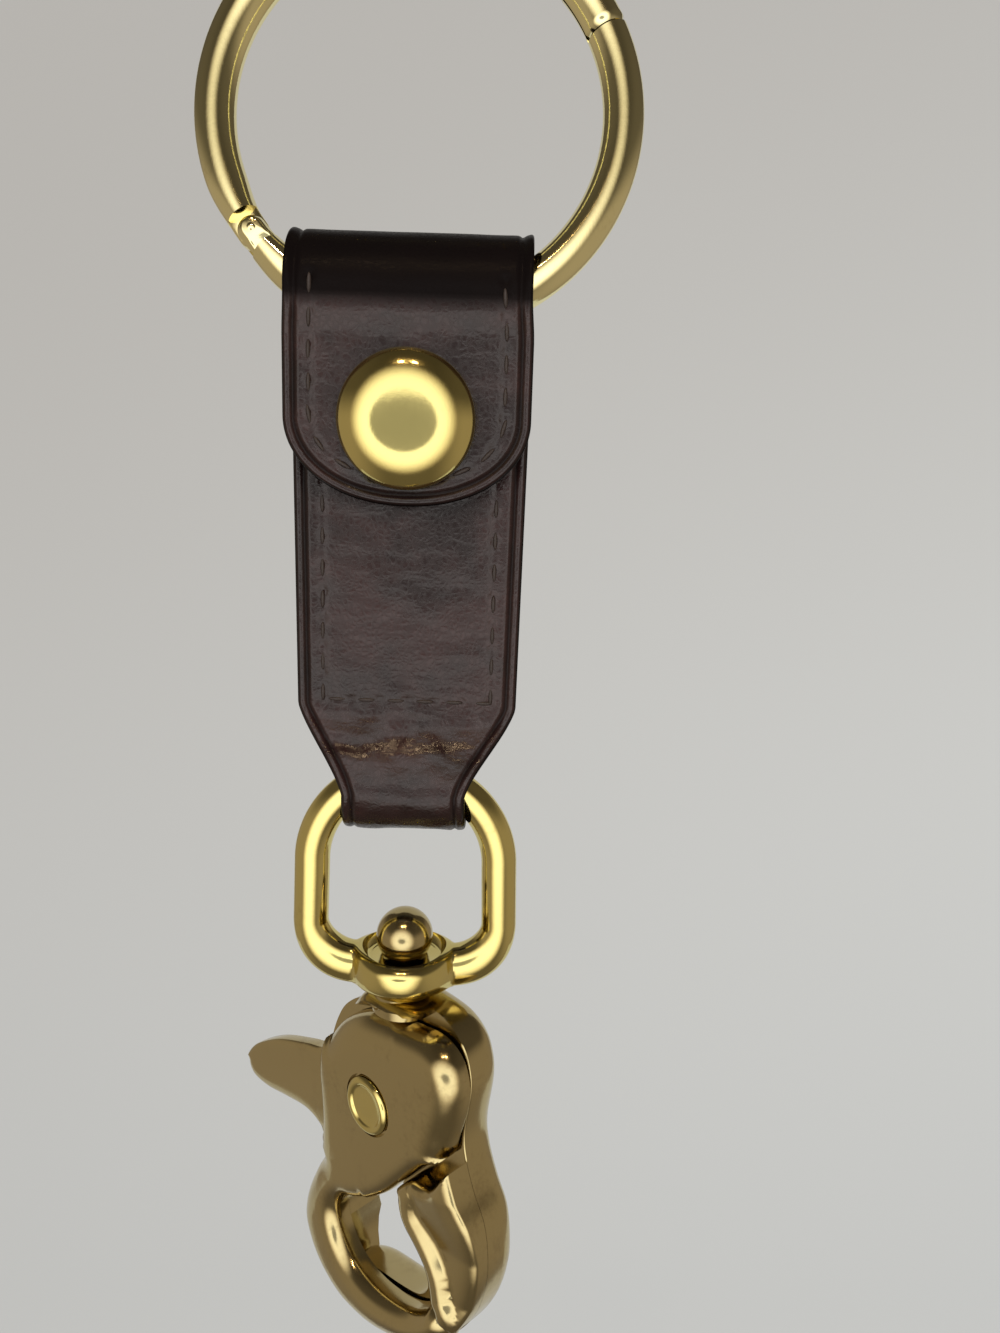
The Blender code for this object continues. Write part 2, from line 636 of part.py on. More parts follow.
def on_lap(degrees, radius):
    """Point about the middle of the hook's bow, where the two arms overlap."""
    angle = radians(degrees)
    return Vector((HOOK_OFFSET + radius * cos(angle), -HOOK_DROP + radius * sin(angle)))


def scaled(shares):
    return [Vector(pair) * OUTLINE_UNIT for pair in shares]


# Lever half from the right of its cheek: over the head, the thumb lever, the arm, its tip, the bore
cheek_shares = [(1.26, 0.10), (1.37, 0.48), (1.39, 0.80), (1.27, 1.08), (1.00, 1.23),
                (0.56, 1.20), (0.10, 1.13), (-0.33, 1.00), (-0.70, 0.76), (-0.96, 0.44)]
thumb_shares = [(-1.12, 0.19), (-1.49, 0.07), (-2.07, -0.14), (-2.49, -0.37), (-2.76, -0.58),
                (-2.91, -0.84), (-2.76, -1.05), (-2.42, -1.09), (-1.95, -1.02), (-1.50, -0.97)]
arm_shares = [(-1.19, -1.06), (-1.06, -1.27), (-1.25, -1.62), (-1.43, -2.02), (-1.49, -2.37),
              (-1.41, -2.65), (-1.24, -2.92), (-0.99, -3.14), (-0.68, -3.29), (-0.33, -3.34),
              (0.05, -3.31), (0.50, -3.17)]
lever_tip_shares = [(0.90, -2.96), (1.22, -2.70), (1.33, -2.46), (1.27, -2.25), (1.10, -2.18)]
lever_bore_shares = [(0.80, -2.24), (0.45, -2.32), (0.10, -2.30), (-0.16, -2.14), (-0.30, -1.88),
                     (-0.28, -1.60), (-0.06, -1.38), (0.26, -1.12), (0.56, -0.78), (0.86, -0.44),
                     (1.16, -0.20)]
lever_shares = cheek_shares + thumb_shares + arm_shares + lever_tip_shares + lever_bore_shares
lever_outline = smooth_closed(scaled(lever_shares))

# Fixed half from its shoulder: down the head, the bore, the tip of its arm, the bow, the spine
shoulder_shares = [(0.50, 1.45), (0.00, 1.45), (-0.36, 1.41)]
fixed_bore_shares = [(0.44, -1.46), (0.46, -1.70), (0.56, -1.94), (0.69, -2.16), (0.72, -2.38),
                     (0.56, -2.56), (0.22, -2.64), (-0.14, -2.64)]
fixed_tip_shares = [(-0.46, -2.60), (-0.70, -2.70), (-0.80, -2.86), (-0.72, -3.03)]
spine_shares = [(-0.42, -3.18), (0.02, -3.26), (0.46, -3.19), (0.90, -2.98), (1.30, -2.56), (1.57, -2.10),
                (1.70, -1.62), (1.70, -1.22), (1.63, -0.88), (1.46, -0.58), (1.32, -0.24), (1.28, 0.08),
                (1.36, 0.64), (1.33, 0.94), (1.20, 1.20), (0.92, 1.39)]
fixed_points = scaled(shoulder_shares)
fixed_points += [on_head(a, HEAD_RADIUS) for a in (122, 146, 172, 198, 224, 248, 268, 284)]
fixed_points += scaled(fixed_bore_shares + fixed_tip_shares + spine_shares)
fixed_outline = smooth_closed(fixed_points)

back_levels = [(-half_thick, HOOK_ROUNDING), (-half_thick + HALF_ROUNDING_DEPTH, HALF_ROUNDING),
               (-half_thick + ROUNDING_DEPTH, 0.0)]
levels = back_levels + [(-front, distance) for front, distance in reversed(back_levels)]

lever_half = mesh_object("hook_lever_half", cushion(lever_outline, levels), rivet_axis, worn_brass)
fixed_half = mesh_object("hook_fixed_half", cushion(fixed_outline, levels), rivet_axis, worn_brass)

# What each half gives up so that the other lies beside it
far = HOOK_DROP * 3.0
lap_start = HOOK_DROP / 6.0
part_back = PART_DEPTH - GAP / 2.0
part_front = PART_DEPTH + GAP / 2.0
beyond = half_thick + OVERRUN
back_cut = [on_lap(LEFT_LAP_ANGLE, far), Vector((0.0, -far)), Vector((far, -far)), Vector((far, far)),
            Vector((-far, far)), Vector((-far, -RIVET_DROP))]
back_cut += [on_head(a, HEAD_RADIUS + GAP) for a in (225, 232, 240, 250, 260)]
back_cut += [on_lap(LEFT_LAP_ANGLE, lap_start)]
lever_back = mesh_object("lever_back_cut", slab(back_cut, -beyond, part_front), rivet_axis)
combine(lever_half, lever_back, "DIFFERENCE")
shoulder_cut_shares = [(5.0, 1.9), (0.80, 1.6), (0.66, 1.31), (0.10, 1.20), (-0.36, 1.09), (-5.0, 1.09)]
front_loop = [on_lap(RIGHT_LAP_ANGLE, far), on_lap(RIGHT_LAP_ANGLE, lap_start)]
front_loop += [on_head(a, HEAD_CLEARANCE_RADIUS) for a in (-66, -52, -40, -28, RIGHT_WALL_ANGLE)]
front_loop += [on_head(RIGHT_WALL_ANGLE, far)] + scaled(shoulder_cut_shares)
front_loop += [Vector((-far, -far)), Vector((0.0, -far))]
fixed_front = mesh_object("fixed_front_cut", slab(front_loop, part_back, beyond), rivet_axis)
combine(fixed_half, fixed_front, "DIFFERENCE")
thumb_loop = [on_head(a, HEAD_RADIUS - OVERRUN) for a in (208, 196, 184, 172, 160, 148)]
thumb_loop += [Vector((-far, far)), Vector((-far, -HOOK_DROP))]
thumb_face = half_thick - LEVER_RECESS
thumb_front = mesh_object("lever_front_cut", slab(thumb_loop, thumb_face, beyond), rivet_axis)
combine(lever_half, thumb_front, "DIFFERENCE")

shank_low = RIVET_DROP - HEAD_RADIUS
flange_z = ball_z - boss_low + GAP
shank_profile = [(0.0, -shank_low), (NECK_FLANGE_RADIUS, -shank_low),
                 (NECK_FLANGE_RADIUS, -flange_z - OVERRUN),
                 (NECK_FLANGE_RADIUS - OVERRUN, -flange_z), (SHANK_RADIUS, -flange_z)]
ball_low = acos(SHANK_RADIUS / BALL_RADIUS)
for k in range(EASE_STEPS):
    angle = -ball_low + (ball_low + pi / 2.0) * k / EASE_STEPS
    shank_profile.append((BALL_RADIUS * cos(angle), BALL_RADIUS * sin(angle)))
shank_profile.append((0.0, BALL_RADIUS))
shank = mesh_object("shank_join", turned(shank_profile, "Z", 24), swivel_axis)
combine(fixed_half, shank, "UNION")

bore = RIVET_RADIUS + RUNNING
recess = RIVET_HEAD_RADIUS + GAP
recess_floor = half_thick - RIVET_SINK
rivet_cut_profile = [(0.0, -beyond), (recess, -beyond), (recess, -recess_floor), (bore, -recess_floor),
                     (bore, -POCKET_DEPTH), (POCKET_RADIUS, -POCKET_DEPTH), (POCKET_RADIUS, POCKET_DEPTH),
                     (bore, POCKET_DEPTH), (bore, recess_floor), (recess, recess_floor), (recess, beyond),
                     (0.0, beyond)]
rivet_cut = mesh_object("rivet_bore_cut", turned(rivet_cut_profile, "Y", 32), rivet_axis)
combine(lever_half, rivet_cut, "DIFFERENCE")
combine(fixed_half, rivet_cut, "DIFFERENCE")

head_low = recess_floor + GAP / 2.0
head_high = head_low + RIVET_HEAD_HEIGHT
half_rivet = [(0.0, head_high - GAP), (RIVET_DIMPLE_RADIUS, head_high - GAP),
              (RIVET_DIMPLE_RADIUS + GAP, head_high),
              (RIVET_HEAD_RADIUS - 2.0 * GAP, head_high), (RIVET_HEAD_RADIUS, head_high - 2.0 * GAP),
              (RIVET_HEAD_RADIUS, head_low), (RIVET_RADIUS, head_low)]
rivet_profile = half_rivet + [(radius, -front) for radius, front in reversed(half_rivet)]
mesh_object("hook_rivet", turned(rivet_profile, "Y", 32), rivet_axis, brass)


def spring_points():
    """Torsion spring round the rivet; each end turns out towards the pocket's wall."""
    count = round(SPRING_TURNS * TURN_STEPS)
    height = SPRING_TURNS * SPRING_PITCH
    coil = []
    for k in range(count + 1):
        angle = full_turn * k / TURN_STEPS
        coil.append(Vector((SPRING_RADIUS * cos(angle), height * (0.5 - k / count),
                            SPRING_RADIUS * sin(angle))))
    leg = (POCKET_RADIUS - GAP - SPRING_WIRE / 2.0) / SPRING_RADIUS
    first = Vector((coil[0].x * leg, coil[0].y, coil[0].z * leg))
    last = Vector((coil[-1].x * leg, coil[-1].y, coil[-1].z * leg))
    return [first] + coil[1:-1] + [last]


def open_tube(points, radius, sides):
    loops = []
    count = len(points)
    beside = Vector((0.0, 1.0, 0.0))
    for i, point in enumerate(points):
        tangent = (points[min(i + 1, count - 1)] - points[max(i - 1, 0)]).normalized()
        across = beside.cross(tangent).normalized()
        loops.append(ellipse_loop(point, across, tangent.cross(across), radius, radius, sides))
    return loft(loops)


mesh_object("hook_spring", open_tube(spring_points(), SPRING_WIRE / 2.0, 6), rivet_axis, spring_steel)
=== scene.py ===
from math import acos, cos, hypot, pi, radians, sin, sqrt

import bmesh
import bpy
import numpy as np
from mathutils import Matrix, Vector
from mathutils.geometry import delaunay_2d_cdt
from mathutils.noise import noise


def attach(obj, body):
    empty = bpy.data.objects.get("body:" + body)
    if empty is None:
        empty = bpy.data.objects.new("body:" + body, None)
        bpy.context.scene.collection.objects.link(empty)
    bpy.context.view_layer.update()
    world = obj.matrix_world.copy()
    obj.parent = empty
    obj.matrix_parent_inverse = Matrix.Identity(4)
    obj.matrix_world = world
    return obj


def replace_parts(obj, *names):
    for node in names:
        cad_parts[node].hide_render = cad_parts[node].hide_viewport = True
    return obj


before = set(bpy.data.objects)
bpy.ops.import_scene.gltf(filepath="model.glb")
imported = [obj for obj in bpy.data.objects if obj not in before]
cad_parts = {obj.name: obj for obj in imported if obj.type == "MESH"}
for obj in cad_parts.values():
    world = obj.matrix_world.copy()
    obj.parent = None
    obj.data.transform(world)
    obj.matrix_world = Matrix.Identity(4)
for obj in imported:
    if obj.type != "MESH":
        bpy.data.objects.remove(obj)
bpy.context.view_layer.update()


# Camera: close in front of the hanging key holder, tipped down and turned a little
# askew. Its focal length is as long as the picture is wide.
def linked(name, data):
    """New object in the scene."""
    item = bpy.data.objects.new(name, data)
    bpy.context.scene.collection.objects.link(item)
    return item


picture_width, picture_height = 1000.0, 1333.0
camera_data = bpy.data.cameras.new("front_camera")
camera_data.sensor_fit = "VERTICAL"
camera_data.sensor_height = 36.0
camera_data.lens = camera_data.sensor_height * picture_width / picture_height
camera_data.clip_start = 0.001
camera = linked("front_camera", camera_data)
bpy.context.scene.camera = camera
pitch, roll = radians(12.0), radians(-1.9)
ahead = Vector((0.0, cos(pitch), -sin(pitch)))
level_right = Vector((1.0, 0.0, 0.0))
level_down = ahead.cross(level_right)
right = level_right * cos(roll) + level_down * sin(roll)
down = level_down * cos(roll) - level_right * sin(roll)
turn = Matrix((right, -down, -ahead)).transposed()
camera_place = (0.01026, -0.11747, -0.05291)
camera.matrix_world = Matrix.Translation(camera_place) @ turn.to_4x4()


# Studio: a pale sweep of paper that runs from floor to wall behind the piece, and a
# soft light tent with an opening for the camera. The brass shows that opening as a
# dark spot inside a bright ring.
class Value:
    """A number, colour or vector in a node tree; arithmetic on it adds Math nodes."""

    def __init__(self, nodes, socket):
        self.nodes, self.socket = nodes, socket

    def __add__(self, other):
        return self.nodes.math("ADD", self, other)

    def __sub__(self, other):
        return self.nodes.math("SUBTRACT", self, other)

    def __rsub__(self, other):
        return self.nodes.math("SUBTRACT", other, self)

    def __mul__(self, other):
        return self.nodes.math("MULTIPLY", self, other)

    __radd__ = __add__
    __rmul__ = __mul__


class Nodes:
    """Node tree of a material or of the world."""

    def __init__(self, owner):
        owner.use_nodes = True
        self.tree = owner.node_tree

    def add(self, kind, settings=(), values=(), output=0):
        """Adds a node: its settings first, then a value or a link for each socket."""
        node = self.tree.nodes.new(kind)
        for key, setting in dict(settings).items():
            setattr(node, key, setting)
        for key, value in dict(values).items():
            if isinstance(value, Value):
                self.tree.links.new(value.socket, node.inputs[key])
            else:
                node.inputs[key].default_value = value
        return Value(self, node.outputs[output])

    def math(self, operation, *values):
        return self.add("ShaderNodeMath", {"operation": operation}, dict(enumerate(values)))

    def ramp(self, value, low, high):
        """0 below low, 1 above high and a soft run between them."""
        settings = {"interpolation_type": "SMOOTHSTEP"}
        values = {"Value": value, "From Min": low, "From Max": high, "To Min": 0.0, "To Max": 1.0}
        return self.add("ShaderNodeMapRange", settings, values)

    def mix(self, share, first, second):
        return self.add("ShaderNodeMix", {"data_type": "RGBA"}, {0: share, 6: first, 7: second}, 2)

    def noise(self, place, scale, detail=3.0, roughness=0.5):
        values = {"Vector": place, "Scale": scale, "Detail": detail, "Roughness": roughness}
        return self.add("ShaderNodeTexNoise", {}, values)

    def place(self, output="Object"):
        return self.add("ShaderNodeTexCoord", {}, {}, output)

    def axis(self, vector, name):
        return self.add("ShaderNodeSeparateXYZ", {}, {0: vector}, name)

    def shader(self, key, value):
        """Sets or links a socket of the Principled shader."""
        socket = self.tree.nodes["Principled BSDF"].inputs[key]
        if isinstance(value, Value):
            self.tree.links.new(value.socket, socket)
        else:
            socket.default_value = value

    def bump(self, height, strength, distance):
        values = {"Strength": strength, "Distance": distance, "Height": height}
        self.shader("Normal", self.add("ShaderNodeBump", {}, values))


world = bpy.data.worlds.new("light_tent")
bpy.context.scene.world = world
tent = Nodes(world)
facing = tent.place("Generated")
opening_wide, opening_high = 0.24, 0.16
off_middle = tent.add("ShaderNodeVectorMath", {"operation": "ADD"}, {0: facing, 1: (0.10, 0.0, 0.01)})
opening_spread = tent.add("ShaderNodeVectorMath", {"operation": "MULTIPLY"},
                          {0: off_middle, 1: (1.0 / opening_wide, 0.0, 1.0 / opening_high)})
opening_distance = tent.add("ShaderNodeVectorMath", {"operation": "LENGTH"}, {0: opening_spread}, "Value")
towards = tent.add("ShaderNodeVectorMath", {"operation": "DOT_PRODUCT"},
                   {0: facing, 1: (-0.10, -0.99, -0.01)}, "Value")
glow = tent.ramp(towards, 0.60, 0.93)
opening = tent.ramp(opening_distance, 0.85, 1.25)
aside = tent.math("ABSOLUTE", tent.axis(facing, "X"))
above = tent.ramp(tent.axis(facing, "Z"), 0.0, 0.45)
walls = 0.14 - above * 0.08
front_glow = glow * (0.28 + opening * 1.35)
side_glow = tent.ramp(aside, 0.30, 0.90) * (0.20 - above * 0.16)
tent_light = walls + front_glow + side_glow
seen = tent.add("ShaderNodeLightPath", {}, {}, "Is Camera Ray")
tent_strength = tent_light * (1.0 - seen) + seen * 0.54
background = tent.tree.nodes["Background"]
warmth = tent.mix(glow, (1.0, 0.84, 0.66, 1.0), (1.0, 0.985, 0.955, 1.0))
tent.tree.links.new(tent.mix(seen, warmth, (1.0, 0.99, 0.97, 1.0)).socket, background.inputs["Color"])
tent.tree.links.new(tent_strength.socket, background.inputs["Strength"])


def lamp(name, place, target, size, power, colour):
    data = bpy.data.lights.new(name, "AREA")
    data.shape = "RECTANGLE"
    data.size, data.size_y = size
    data.energy = power
    data.color = colour
    item = linked(name, data)
    item.location = place
    item.rotation_euler = (Vector(target) - Vector(place)).to_track_quat("-Z", "Y").to_euler()
    return item


soft_box = lamp("soft_box", (0.10, -0.42, 0.10), (0.0, 0.0, -0.07), (0.34, 0.20), 1.7, (1.0, 0.97, 0.93))
soft_box.visible_glossy = False
for name, place in (("left_spot", (-0.10, -0.40, 0.52)), ("right_spot", (0.03, -0.42, 0.56))):
    lamp(name, place, (0.0, 0.0, -0.05), (0.02, 0.02), 0.35, (1.0, 0.72, 0.42))



def mesh_from(name, bm):
    mesh = bpy.data.meshes.new(name)
    bm.to_mesh(mesh)
    bm.free()
    return mesh


sweep = bmesh.new()
floor_level, floor_front, wall_depth, wall_top = -0.40, 0.06, 0.46, 0.55
sweep_radius, sweep_half, sweep_steps = 0.22, 0.36, 16
sweep_profile = [(floor_front, floor_level)]
for k in range(sweep_steps + 1):
    angle = pi / 2.0 * k / sweep_steps
    sweep_profile.append((wall_depth - sweep_radius * (1.0 - sin(angle)),
                          floor_level + sweep_radius * (1.0 - cos(angle))))
sweep_profile.append((wall_depth, wall_top))
sides = [[sweep.verts.new((x, y, z)) for y, z in sweep_profile] for x in (-sweep_half, sweep_half)]
for k in range(len(sweep_profile) - 1):
    sweep.faces.new((sides[0][k], sides[1][k], sides[1][k + 1], sides[0][k + 1]))
sweep_mesh = mesh_from("studio_sweep", sweep)
sweep_mesh.shade_smooth()
sweep_item = linked("studio_sweep", sweep_mesh)

paper = bpy.data.materials.new("sweep_paper")
sheet = Nodes(paper)
across = sheet.axis(sheet.place(), "X")
height = sheet.axis(sheet.place(), "Z")
# Painted light fall-off: the paper's colour is darker towards the top left and paler towards the lower right.
painted_falloff = sheet.ramp(across * 0.5 - height, -0.30, 0.62)
paper_colour_with_painted_falloff = sheet.mix(painted_falloff, (0.478, 0.466, 0.444, 1.0), (0.640, 0.648, 0.634, 1.0))
sheet.shader("Base Color", paper_colour_with_painted_falloff)
sheet.shader("Roughness", 0.9)
glow_sheet = sheet.add("ShaderNodeEmission", {}, {"Color": paper_colour_with_painted_falloff, "Strength": 1.0})
path = sheet.tree.nodes.new("ShaderNodeLightPath")
direct = Value(sheet, path.outputs["Is Camera Ray"]) + Value(sheet, path.outputs["Is Transmission Ray"])
direct = direct + Value(sheet, path.outputs["Is Glossy Ray"])
plain = sheet.tree.nodes["Principled BSDF"].outputs[0]
paper_mix = sheet.add("ShaderNodeMixShader", {}, {0: direct * 0.80, 1: Value(sheet, plain), 2: glow_sheet})
sheet.tree.links.new(paper_mix.socket, sheet.tree.nodes["Material Output"].inputs["Surface"])
sweep_mesh.materials.append(paper)
bpy.context.scene.view_settings.view_transform = "Standard"


# Polished brass of the press stud, the swivel eye and the rivet: warm yellow metal with
# fine rubbing marks and a little brown in cloudy spots. The ring's plating and the
# hook's castings have the same finish in colours of their own.
def brass_finish(name, bright, brown, shine, tarnish):
    material = bpy.data.materials.new(name)
    brass = Nodes(material)
    place = brass.place()
    cloud = brass.noise(place, 140.0, 4.0, 0.6)
    fine = brass.noise(place, 1500.0, 3.0, 0.65)
    rubbed = brass.noise(brass.add("ShaderNodeMapping", {}, {"Vector": place, "Scale": (1.0, 1.0, 0.16)}),
                         5200.0, 2.0, 0.7)
    age = brass.ramp(cloud * 0.65 + fine * 0.35, 0.60 - 0.3 * tarnish, 0.90 - 0.2 * tarnish)
    brass.shader("Base Color", brass.mix(age, (*bright, 1.0), (*brown, 1.0)))
    brass.shader("Metallic", 1.0)
    brass.shader("Roughness", shine + age * 0.16 + rubbed * 0.07)
    brass.bump(fine * 0.6 + rubbed * 0.4, 0.10, 0.00006)
    return material


polished = brass_finish("bright_brass", (0.78, 0.66, 0.25), (0.52, 0.40, 0.15), 0.08, 0.15)


def mesh_piece(name, bm, material, sharp=50.0):
    """Closes a mesh's books: merged, facing outwards, smooth up to the sharp angle."""
    bmesh.ops.remove_doubles(bm, verts=bm.verts, dist=0.0000005)
    bmesh.ops.recalc_face_normals(bm, faces=bm.faces)
    mesh = mesh_from(name, bm)
    mesh.materials.append(material)
    mesh.shade_smooth()
    mesh.set_sharp_from_angle(angle=radians(sharp))
    return linked(name, mesh)


def skin(bm, loops, closed=False, tips=()):
    """Skins equal loops in a row; an open row ends in a face, or in a tip where given."""
    rows = [[bm.verts.new(point) for point in loop] for loop in loops]
    pairs = list(zip(rows, rows[1:])) + ([(rows[-1], rows[0])] if closed else [])
    for lower, upper in pairs:
        for i in range(len(lower)):
            j = (i + 1) % len(lower)
            bm.faces.new((lower[i], lower[j], upper[j], upper[i]))
    if not closed and not tips:
        bm.faces.new(rows[0])
        bm.faces.new(rows[-1])
    for row, tip in zip((rows[0], rows[-1]), tips):
        point = bm.verts.new(tip)
        for i in range(len(row)):
            bm.faces.new((row[i], row[(i + 1) % len(row)], point))


def turned(bm, profile, place, steps=96):
    """Turns a profile of (radius, height), from axis to axis, about the Z of place."""
    loops = []
    for radius, height in profile:
        loops.append([place @ Vector((radius * cos(2.0 * pi * k / steps),
                                      radius * sin(2.0 * pi * k / steps), height)) for k in range(steps)])
    skin(bm, loops[1:-1], tips=(loops[0][0], loops[-1][0]))


def softened(profile, radius, steps=4):
    """Rounds the inner corners of a profile."""
    soft = [profile[0]]
    for before, corner, after in zip(profile, profile[1:], profile[2:]):
        here = Vector(corner)
        back, on = Vector(before) - here, Vector(after) - here
        reach = min(radius, back.length * 0.45, on.length * 0.45)
        start, end = here + back.normalized() * reach, here + on.normalized() * reach
        for k in range(steps + 1):
            t = k / steps
            point = start * (1 - t) ** 2 + here * 2.0 * t * (1 - t) + end * t * t
            soft.append((point.x, point.y))
    soft.append(profile[-1])
    return soft


def ease(t):
    t = min(max(t, 0.0), 1.0)
    return t * t * (3.0 - 2.0 * t)


# Split ring: round brass wire in two halves, hinged at lower left and lapped at upper
# right. The wire thins to the hinge, where a tongue sits between two cheeks.
wire_radius = 0.00215
ring_radius = 0.0212
ring_lean = radians(12.0)
hinge_angle, catch_angle = radians(218.0), radians(34.0)
ring_bore = 0.01905
ring_place = (Matrix.Translation((0.0, -ring_bore * sin(ring_lean), -ring_bore * cos(ring_lean)))
              @ Matrix.Rotation(-ring_lean, 4, "X"))
lap_half = 0.0034 / ring_radius
lap_gap = 0.00015
lap_play = 0.014
hinge_reach = 0.0020 / ring_radius
to_front = Matrix.Rotation(radians(90.0), 4, "X")


def ring_half(bm, start, end, lap_at, lap_side):
    """Wire from start to end; beyond lap_at only the part on lap_side of the middle stays."""
    count, lap_edge = 150, 0.0004
    thin_reach, thinned, worn_tip = 0.0066, 0.00050, 0.0004
    angles = [start + (end - start) * k / count for k in range(count + 1)]
    angles = sorted(angles + [lap_at - lap_edge, lap_at + lap_edge], reverse=end < start)
    loops = []
    for angle in angles:
        near = 1.0 - abs(hinge_angle - angle) * ring_radius / thin_reach
        thin = wire_radius - thinned * ease(near)
        lapped = (angle - lap_at) * (end - start) * (1.0 if abs(end - lap_at) < 1.0 else -1.0) > 0.0
        taper = 1.0
        for tip in (start, end):
            if abs(tip - hinge_angle) > 0.5:
                edge = abs(angle - tip) * ring_radius / worn_tip
                taper = min(taper, 0.86 + 0.14 * sqrt(1.0 - (1.0 - min(edge, 1.0)) ** 2))
        loop = []
        for k in range(48):
            turn_angle = 2.0 * pi * k / 48
            radial = thin * taper * cos(turn_angle)
            beside = wire_radius * taper * sin(turn_angle)
            if lapped:
                beside = max(beside * lap_side, lap_gap) * lap_side
            radius = ring_radius + radial
            loop.append(ring_place @ Vector((radius * cos(angle), beside, radius * sin(angle))))
        loops.append(loop)
    skin(bm, loops)


def hinge_leaf(bm, direction, back, front):
    """Hinge plate, round about the pin and running into the wire, as round across as it."""
    half, reach, round_about, count = 0.00172, 0.0042, 0.00225, 8
    middle = Vector((ring_radius * cos(hinge_angle), ring_radius * sin(hinge_angle)))
    outline = []
    for k in range(25):
        angle = hinge_angle + direction * pi * (k / 24 - 1.0)
        outline.append((Vector((cos(angle), sin(angle))) * half, 1.0))
    along = Vector((-sin(hinge_angle), cos(hinge_angle))) * direction
    inward = Vector((-cos(hinge_angle), -sin(hinge_angle)))
    for side, steps in ((-1.0, range(1, count + 1)), (1.0, range(count, 0, -1))):
        for k in steps:
            step, narrow = reach * k / count, 1.0 - 0.20 * ease(2.0 * k / count - 1.0)
            off_wire = side * half * narrow + step * step / (2.0 * ring_radius)
            outline.append((inward * off_wire + along * step, narrow))
    loops = []
    for k in range(11):
        beside = back + (front - back) * k / 10
        width = sqrt(1.0 - (beside / round_about) ** 2) - (0.06 if k in (0, 10) else 0.0)
        loops.append([ring_place @ Vector((middle.x + p.x * width, beside * narrow, middle.y + p.y * width))
                      for p, narrow in outline])
    skin(bm, loops)


tongue_half, cheek_in, cheek_out = 0.00075, 0.00098, 0.00188
plated = brass_finish("plated_brass", (0.98, 0.89, 0.48), (0.54, 0.42, 0.17), 0.07, 0.12)
upper_ring = bmesh.new()
ring_half(upper_ring, catch_angle - lap_half + lap_play, hinge_angle - hinge_reach,
          catch_angle + lap_half, -1.0)
hinge_leaf(upper_ring, -1.0, -tongue_half, tongue_half)
upper_item = mesh_piece("ring_upper_wire", upper_ring, plated)
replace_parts(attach(upper_item, "ring_upper"), "ring_upper_half")
lower_ring = bmesh.new()
ring_half(lower_ring, hinge_angle + hinge_reach, catch_angle + 2.0 * pi + lap_half - lap_play,
          catch_angle + 2.0 * pi - lap_half, 1.0)
hinge_leaf(lower_ring, 1.0, -cheek_out, -cheek_in)
hinge_leaf(lower_ring, 1.0, cheek_in, cheek_out)
lower_item = mesh_piece("ring_lower_wire", lower_ring, plated)
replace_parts(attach(lower_item, "ring_lower"), "ring_lower_half")
pin_half, pin_radius, pin_dome, pin_round = 0.00194, 0.00060, 0.00005, 0.00020
pin_middle = (ring_radius * cos(hinge_angle), 0.0, ring_radius * sin(hinge_angle))
pin = bmesh.new()
turned(pin, [(0.0, -pin_half), (0.6 * pin_radius, -pin_half + pin_dome), (pin_radius, -pin_half + pin_round),
             (pin_radius, pin_half - pin_round), (0.6 * pin_radius, pin_half - pin_dome), (0.0, pin_half)],
       ring_place @ Matrix.Translation(pin_middle) @ to_front, 48)
pin_item = mesh_piece("ring_hinge_rod", pin, plated)
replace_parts(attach(pin_item, "ring_upper"), "ring_hinge_pin")


# Leather: dark red-brown bridle leather, glazed on its grain side. One strip runs down
# the front, round the swivel eye and back up, with a filler between its two runs.
def leather_finish(name, light, dark, edge_paint_and_shade_colour, gloss):
    material = bpy.data.materials.new(name)
    hide = Nodes(material)
    place = hide.place()
    # The edge attribute holds the dark edge paint of the cut edges and the darkened pressed line, and also
    # painted shade over the fold round the ring.
    edge = hide.add("ShaderNodeAttribute", {"attribute_name": "edge"}, {}, "Fac")
    worn = hide.add("ShaderNodeAttribute", {"attribute_name": "worn"}, {}, "Fac")
    cloud = hide.noise(place, 120.0, 5.0, 0.6)
    ripple = hide.add("ShaderNodeTexNoise", {}, {"Vector": place, "Scale": 500.0}, "Color")
    warp = hide.add("ShaderNodeMix", {"data_type": "VECTOR"}, {0: 0.0012, 4: place, 5: ripple}, 1)
    cells = hide.add("ShaderNodeTexVoronoi", {"feature": "DISTANCE_TO_EDGE"},
                     {"Vector": warp, "Scale": 1500.0})
    grain = hide.ramp(cells, 0.0, 0.32)
    folds = hide.noise(hide.add("ShaderNodeMapping", {}, {"Vector": place, "Scale": (0.45, 1.0, 1.0)}),
                       330.0, 4.0, 0.55)
    pores = hide.noise(place, 4200.0, 2.0, 0.6)
    tone = hide.mix(hide.ramp(cloud, 0.36, 0.66), (*dark, 1.0), (*light, 1.0))
    tone = hide.mix(grain * 0.35 + 0.65 - worn * 0.25, (*dark, 1.0), tone)
    hide.shader("Base Color", hide.mix(edge, tone, (*edge_paint_and_shade_colour, 1.0)))
    hide.shader("Roughness", gloss + cloud * 0.14 + (1.0 - grain) * 0.10 - worn * 0.12 + edge * 0.06)
    hide.shader("Specular IOR Level", 0.45 - edge * 0.44)
    relief = grain * 0.06 + folds * 1.4 + pores * 0.02
    hide.bump(relief * (1.0 - edge * 0.8), 0.60, 0.00026)
    return material


glazed = leather_finish("glazed_brown_leather", (0.027, 0.0112, 0.0104), (0.010, 0.0046, 0.0043),
                        (0.004, 0.003, 0.003), 0.13)
flesh_side = leather_finish("lining_leather_suede", (0.105, 0.066, 0.050), (0.060, 0.036, 0.028),
                            (0.022, 0.014, 0.012), 0.62)


def edge_distance(points, path, closed=True):
    """Distance from each point to the nearest side of a path."""
    nearest = np.full(len(points), 1e9)
    ends = np.roll(path, -1, axis=0) if closed else path[1:]
    for start, end in zip(path, ends):
        along = end - start
        share = np.clip(((points - start) @ along) / max(along @ along, 1e-18), 0.0, 1.0)
        nearest = np.minimum(nearest, np.hypot(*(points - start - share[:, None] * along).T))
    return nearest


